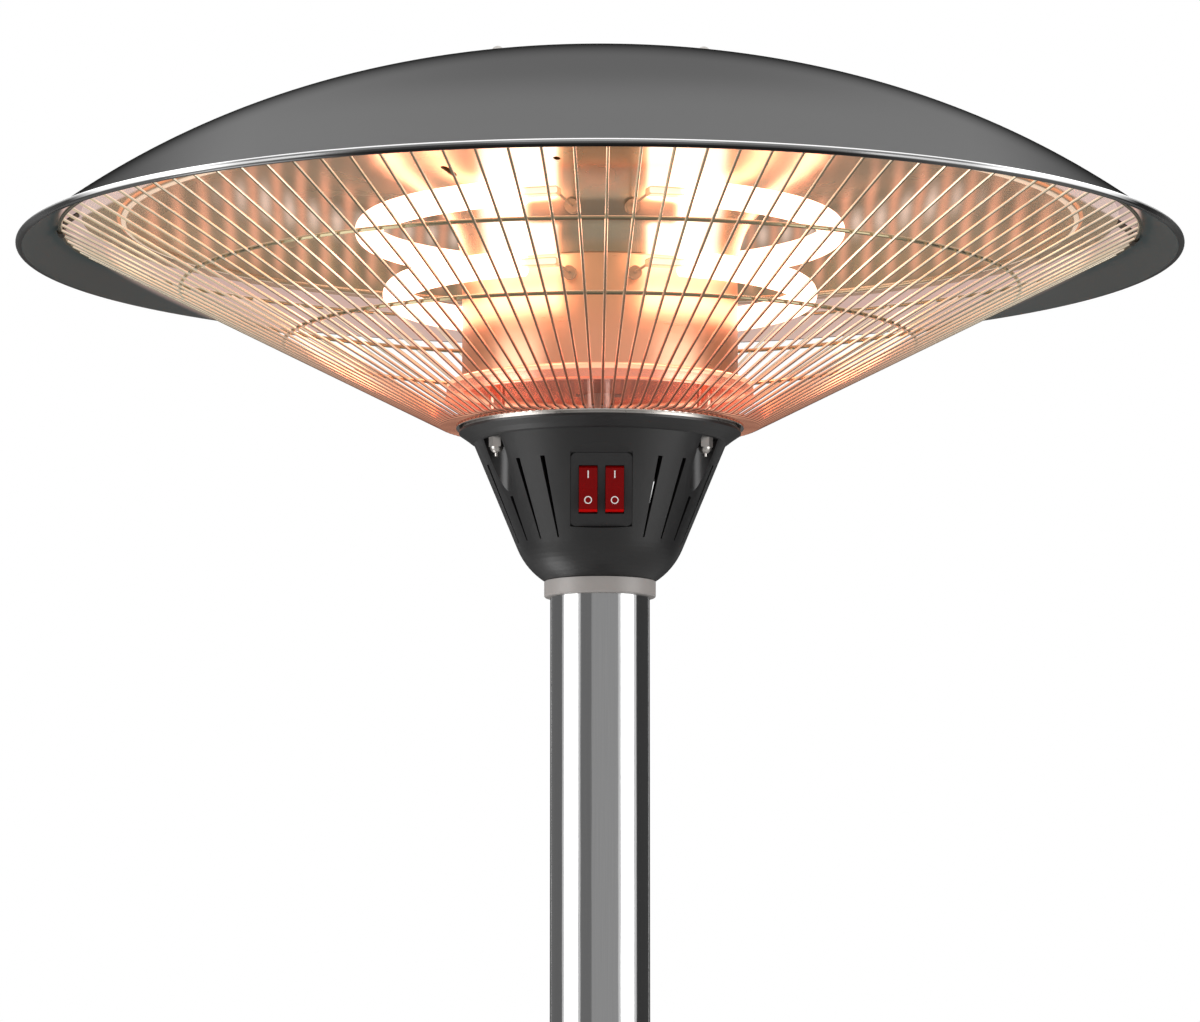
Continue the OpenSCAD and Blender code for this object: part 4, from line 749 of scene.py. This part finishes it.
lamp_r, lamp_gap = 6.5, 78.0
pinch_l, pinch_w, pinch_t = 18.0, 9.0, 4.0
pinch_root, pinch_turn, pinch_rounding = 2, math.radians(4), 1.2
for name, middle_r, height in (("upper_lamp", 120.0, 2009.0), ("lower_lamp", 105.5, 1976.0)):
    end = math.degrees(math.asin(lamp_gap / 2 / middle_r))
    tube = bmesh.new()
    start = Matrix.Translation((0, -middle_r * MM, height * MM)) @ Matrix.Rotation(math.pi / 2, 4, "Y")
    bmesh.ops.create_circle(tube, cap_ends=True, segments=24, radius=lamp_r * MM, matrix=start)
    bmesh.ops.rotate(tube, verts=tube.verts, matrix=Matrix.Rotation(math.radians(end), 3, "Z"))
    made = bmesh.ops.spin(
        tube, geom=list(tube.edges), cent=(0, 0, 0), axis=(0, 0, 1), angle=math.radians(360 - 2 * end),
        steps=120, use_merge=False, use_duplicate=False,
    )
    last = [g for g in made["geom_last"] if isinstance(g, bmesh.types.BMEdge)]
    bmesh.ops.edgeloop_fill(tube, edges=last)
    finished(name + "_tube", tube, lamp_glass, [name + "_glass"])
    ends = bmesh.new()
    for side in (-1, 1):
        block = bmesh.ops.create_cube(ends, size=MM)["verts"]
        bmesh.ops.scale(ends, verts=block, vec=(pinch_l + pinch_root, pinch_w, pinch_t))
        bmesh.ops.translate(ends, verts=block, vec=Vector((-side * (pinch_l - pinch_root) / 2, 0, 0)) * MM)
        bmesh.ops.rotate(ends, verts=block, matrix=Matrix.Rotation(-side * pinch_turn, 3, "Z"))
        bmesh.ops.translate(ends, verts=block, vec=Vector((0, -middle_r, height)) * MM)
        bmesh.ops.rotate(ends, verts=block, matrix=Matrix.Rotation(math.radians(side * end), 3, "Z"))
    finished(name + "_pinches", ends, pinch_glass, [], round_edges=pinch_rounding)

# Reflector
# Spun from bright stainless sheet: a neck that flares from the drum into a shallow round trough,
# with a rolled bead and a flat flange at its edge. The spinning tool leaves faint rings.
reflector = Finish("reflector_steel", Metallic=1.0)
x, y, _ = reflector.axes()
r = reflector.radius()
ridges = reflector.node(
    "TexWave", {"wave_type": "RINGS", "rings_direction": "Z"},
    {"Vector": reflector.place, "Scale": 24.0, "Distortion": 0.4, "Detail": 1.0},
)
warm = reflector.noise(5, 3)
plain_sheet = reflector.blend(warm, tone("C8B294"), tone("D6C3A8"))
# Painted reflection and shadow: the neck is painted duller between the lamps' ends, where it mirrors the
# dark room, and a painted shadow makes it darkest at the front of the drum's top
between = reflector.fade(abs(x), 0.014, 0.024) * reflector.fade(r, 0.106, 0.115)
between = between * reflector.fade(y, -0.03, 0.0)
plain_sheet = reflector.blend(between, plain_sheet, tone("B0A892"))
shadow = reflector.band(r, 0.0722, 0.0735) * reflector.fade(r, 0.0765, 0.0785)
shadow = shadow * reflector.fade(abs(x), 0.034, 0.042) * reflector.fade(y, -0.03, 0.0)
plain_sheet = reflector.blend(shadow * 0.8, plain_sheet, tone("75685A"))
# Toward the back the sheet is painted a darker brown
reflector.put("Base Color", reflector.blend(reflector.band(y, 0.0, 0.2) * 0.7, plain_sheet, tone("8C7454")))
reflector.put("Roughness", reflector.noise(26, 3) * 0.12 + 0.2)
reflector.relief(ridges, 0.0004, 0.25)
# Painted reflections: red streaks, the guard's wires mirrored in the trough, run across it, with painted
# pale pools of light between them at its crest
sway = reflector.noise(9, 2) * 0.004
streak = abs(x) - y * 0.04 + sway
streak_pitch = 0.0128
wave = reflector.node("Math", {"operation": "SINE"}, {0: streak * (2 * math.pi / streak_pitch)})
streaks = (0.5 + 0.5 * wave) ** 1.7
zone = reflector.band(r, 0.12, 0.155) * reflector.fade(r, 0.23, 0.246)
zone = zone * reflector.band(y, -0.11, 0.05) * reflector.band(abs(x), 0.016, 0.03)
crest = reflector.band(r, 0.162, 0.188) * reflector.fade(r, 0.188, 0.212)
pools = (0.5 - 0.5 * wave) ** 1.5 * crest * reflector.band(y, -0.02, 0.06)
glow = reflector.blend(streaks * zone, light(0.06, 0.045, 0.03), light(0.5, 0.2, 0.12))
glow = reflector.blend(pools, glow, light(0.56, 0.4, 0.33))
# Behind the lamps' ends the sheet is painted as flooded with light, a painted glow
flooded = reflector.band(abs(x), 0.018, 0.027) * reflector.fade(abs(x), 0.052, 0.072)
flooded = flooded * reflector.fade(r, 0.108, 0.13) * reflector.fade(y, -0.05, -0.02)
flooded = flooded * (1 - shadow)
painted_flood_light = reflector.blend(reflector.band(flooded, 0.25, 0.8), light(0.75, 0.26, 0.12), light(1.3, 1.05, 0.85))
glow = reflector.blend(reflector.band(flooded, 0.0, 0.4), glow, painted_flood_light)
# Painted light: the flange's nearer part is painted pale, with a painted red line and a warm one along the
# bead beside it
nearer = reflector.band(r, 0.2485, 0.2505) * reflector.band(abs(x) * 2.2 - y, 0.6, 0.608)
glow = reflector.blend(nearer, glow, light(0.42, 0.33, 0.34))
crease = reflector.band(r, 0.2466, 0.2472) * reflector.fade(r, 0.2482, 0.249)
glow = reflector.blend(crease, glow, light(0.5, 0.17, 0.08))
rolled_over = reflector.band(r, 0.2436, 0.2444) * reflector.fade(r, 0.2462, 0.2468)
reflector.glow(reflector.blend(rolled_over, glow, light(0.6, 0.46, 0.36)))

neck_z, neck_hole_r, neck_rise = 1986.3, 48, 3
neck_bevel_w, neck_bevel_h, upper_bevel_w = 1, 0.6, 1.4
flare_r, trough_r, roll_r, flange_w = 45.0, 154.5, 2.5, 20.0
flare_slope, edge_slope, join_step = 20.0, 35.0, 2.0
flare_x, flare_z = drum_r + flare_r, neck_z + neck_rise
down, edge = math.radians(flare_slope), math.radians(edge_slope)
trough_x = flare_x - flare_r * math.sin(down) + trough_r * math.sin(down)
trough_z = flare_z + flare_r * math.cos(down) - trough_r * math.cos(down)
roll_x = trough_x + trough_r * math.sin(edge) + roll_r
roll_z = trough_z + trough_r * math.cos(edge)


def dish_bow(proud):
    """The flare and then the trough, on a line that lies proud of the sheet's lower side."""
    flare = arc(flare_x, flare_z, flare_r + proud, 180, 90 + flare_slope, 24)
    first = 90 + flare_slope - join_step
    return flare + arc(trough_x, trough_z, trough_r + proud, first, 90 - edge_slope, 40)


lower = [(neck_hole_r, neck_z), (drum_r - neck_bevel_w, neck_z), (drum_r, neck_z + neck_bevel_h)]
upper = [(neck_hole_r, neck_z + sheet_t), (drum_r - upper_bevel_w, neck_z + sheet_t)]
lower += dish_bow(0)
upper += dish_bow(sheet_t)
dish = bmesh.new()
spun(dish, lower + upper[::-1], steps=180)
spinning = finished("reflector_spinning", dish, reflector, ["reflector_dish"])
brim = bmesh.new()
spun(brim, circle(roll_x, roll_z, roll_r, 16), steps=180)
flange_x = roll_x + roll_r - sheet_t / 2
flange_end = flange_x + flange_w
spun(brim, [
    (flange_x, roll_z), (flange_end, roll_z), (flange_end, roll_z + sheet_t), (flange_x, roll_z + sheet_t),
], steps=180)
finished("reflector_brim", brim, reflector, ["reflector_dish"])


def punched(piece, tool):
    """Punches a closed bmesh's shape out of a piece."""
    data = bpy.data.meshes.new("punch")
    tool.to_mesh(data)
    tool.free()
    punch = bpy.data.objects.new("punch", data)
    bpy.context.scene.collection.objects.link(punch)
    cut = piece.modifiers.new("punch", "BOOLEAN")
    cut.object = punch
    cut.solver = "EXACT"
    seen = piece.evaluated_get(bpy.context.evaluated_depsgraph_get())
    whole = piece.data
    piece.data = bpy.data.meshes.new_from_object(seen)
    piece.modifiers.remove(cut)
    bpy.data.objects.remove(punch)
    bpy.data.meshes.remove(data)
    bpy.data.meshes.remove(whole)


punch_z, punch_depth = 2035, 80
holes = [
    # radius of the end, run between the two ends, angle from the front, distance from the axis
    (2.0, 0.0, -13.8, 96),
    (2.5, 4.0, -52.8, 97),
]
for end_r, end_run, azimuth, distance in holes:
    tool = bmesh.new()
    bmesh.ops.create_cone(
        tool, cap_ends=True, segments=32, radius1=end_r * MM, radius2=end_r * MM, depth=punch_depth * MM,
    )
    for vert in tool.verts:
        vert.co.y += math.copysign(end_run / 2 * MM, vert.co.y)
    place = Matrix.Translation(polar(distance * MM, azimuth, punch_z * MM))
    place = place @ Matrix.Rotation(math.radians(azimuth), 4, "Z")
    bmesh.ops.transform(tool, matrix=place, verts=tool.verts)
    punched(spinning, tool)

# Hood
# A shallow dome spun from steel sheet, with its edge rolled to a bead, powder-coated in satin
# anthracite. It sits on three spacers and is held down by cap nuts.
hood_paint = Finish("hood_paint", Metallic=0.0, Specular_IOR_Level=0.0)
powder = hood_paint.noise(900, 3)
drift = hood_paint.noise(7, 4)
x, _, _ = hood_paint.axes()
r = hood_paint.radius()
outside = hood_paint.blend(drift, tone("919191"), tone("979797"))
# Painted shade and a painted reflection of the dark room darken the outside toward its middle, its left and
# right, and its outline
shaded = hood_paint.fade(r, 0.215, 0.265) * hood_paint.fade(abs(x), 0.04, 0.18)
outside = hood_paint.blend(shaded * 0.3, outside, tone("404040"))
outside = hood_paint.blend(hood_paint.band(abs(x), 0.17, 0.25) * 0.6, outside, tone("0E0E0E"))
outline = hood_paint.band(hood_paint.grazing(0.5), 0.83, 0.98)
outside = hood_paint.blend(outline * 0.9, outside, tone("101010"))
# The inside is painted a warm brown of lamp light out to a line, and a cool grey of painted shade beyond
# it, darker than the outside
beyond = hood_paint.band(r - (0.264 - abs(x)) * 0.3, 0.278, 0.283)
inside = hood_paint.blend(beyond, tone("8E7048"), tone("5A6466"))
up = hood_paint.normal_up()
hood_paint.put("Base Color", hood_paint.blend(hood_paint.band(up, -0.05, 0.05), inside, outside))
hood_paint.put("Roughness", powder * 0.1 + 0.42)
# A painted glow of lamp light lies on the inside just outside the reflector's edge
lit_end = hood_paint.band(r, 0.25, 0.256) * (1 - beyond) * hood_paint.fade(up, -0.1, 0.0)
hood_paint.glow(hood_paint.blend(lit_end, light(0, 0, 0), light(0.42, 0.34, 0.35)))
hood_paint.relief(powder, 0.00015, 0.3)

rim_z, hood_r, hood_rise, hood_bow, hood_t = 1995.0, 300.0, 100.8, 0.21, 1.0
bead_r, bead_lift, shell_inset = 2.0, 1.0, 3.055
hood_steps = 64


def hood_height(r):
    share = r / hood_r
    return rim_z + hood_rise * (1 - (1 - hood_bow) * share ** 2 - hood_bow * share ** 4)


def hood_fall(r):
    """How steeply the dome falls away at a radius."""
    share = r / hood_r
    return hood_rise / hood_r * (2 * (1 - hood_bow) * share + 4 * hood_bow * share ** 3)


shell_r = hood_r - shell_inset
radii = [shell_r * i / hood_steps for i in range(hood_steps + 1)]
outer = [(r, hood_height(r)) for r in radii]
inner = [(r, hood_height(r) - hood_t * math.hypot(1, hood_fall(r))) for r in radii]
hood = bmesh.new()
spun(hood, [(max(r, axis_r), z) for r, z in outer + inner[::-1]], steps=256)
finished("hood_shell", hood, hood_paint, ["hood"])
painted_edge_sheen = Finish("rolled_edge")
rub = painted_edge_sheen.noise(40, 4)
x, y, _ = painted_edge_sheen.axes()
up = painted_edge_sheen.normal_up()
# The front of the rolled edge is made metallic and glossy, with a painted white highlight along its top and
# painted shade under it, and a painted white glow at its left and right. Elsewhere the edge is grey, darker
# at its far left and right
glossy_front = painted_edge_sheen.fade(y, -0.14, -0.07)
side = painted_edge_sheen.blend(rub, tone("727272"), tone("7E7E7E"))
under = painted_edge_sheen.fade(up, -0.5, -0.15) * painted_edge_sheen.fade(abs(x), 0.1, 0.2)
side = painted_edge_sheen.blend(under, side, tone("2A2A2A"))
side = painted_edge_sheen.blend(painted_edge_sheen.band(up, 0.45, 0.7), side, tone("F2F2F2"))
far = painted_edge_sheen.blend(painted_edge_sheen.band(abs(x), 0.256, 0.268), tone("505252"), tone("303030"))
painted_edge_sheen.put("Base Color", painted_edge_sheen.blend(glossy_front, far, side))
shine = painted_edge_sheen.band(abs(x), 0.165, 0.2) * painted_edge_sheen.fade(abs(x), 0.24, 0.262)
shine = shine * painted_edge_sheen.band(up, -0.55, -0.2) * painted_edge_sheen.fade(y, -0.1, -0.05)
painted_edge_sheen.glow(painted_edge_sheen.blend(shine, light(0, 0, 0), light(0.95, 0.95, 0.95)))
painted_edge_sheen.put("Metallic", glossy_front)
painted_edge_sheen.put("Roughness", glossy_front * -0.32 + rub * 0.06 + 0.44)
bead = bmesh.new()
spun(bead, circle(hood_r - bead_r, rim_z + bead_lift + bead_r, bead_r, 24), steps=256)
finished("hood_rolled_edge", bead, painted_edge_sheen, ["hood"])
dress(plated, "hood_washers", "hood_acorn_nuts", "hood_spacers")
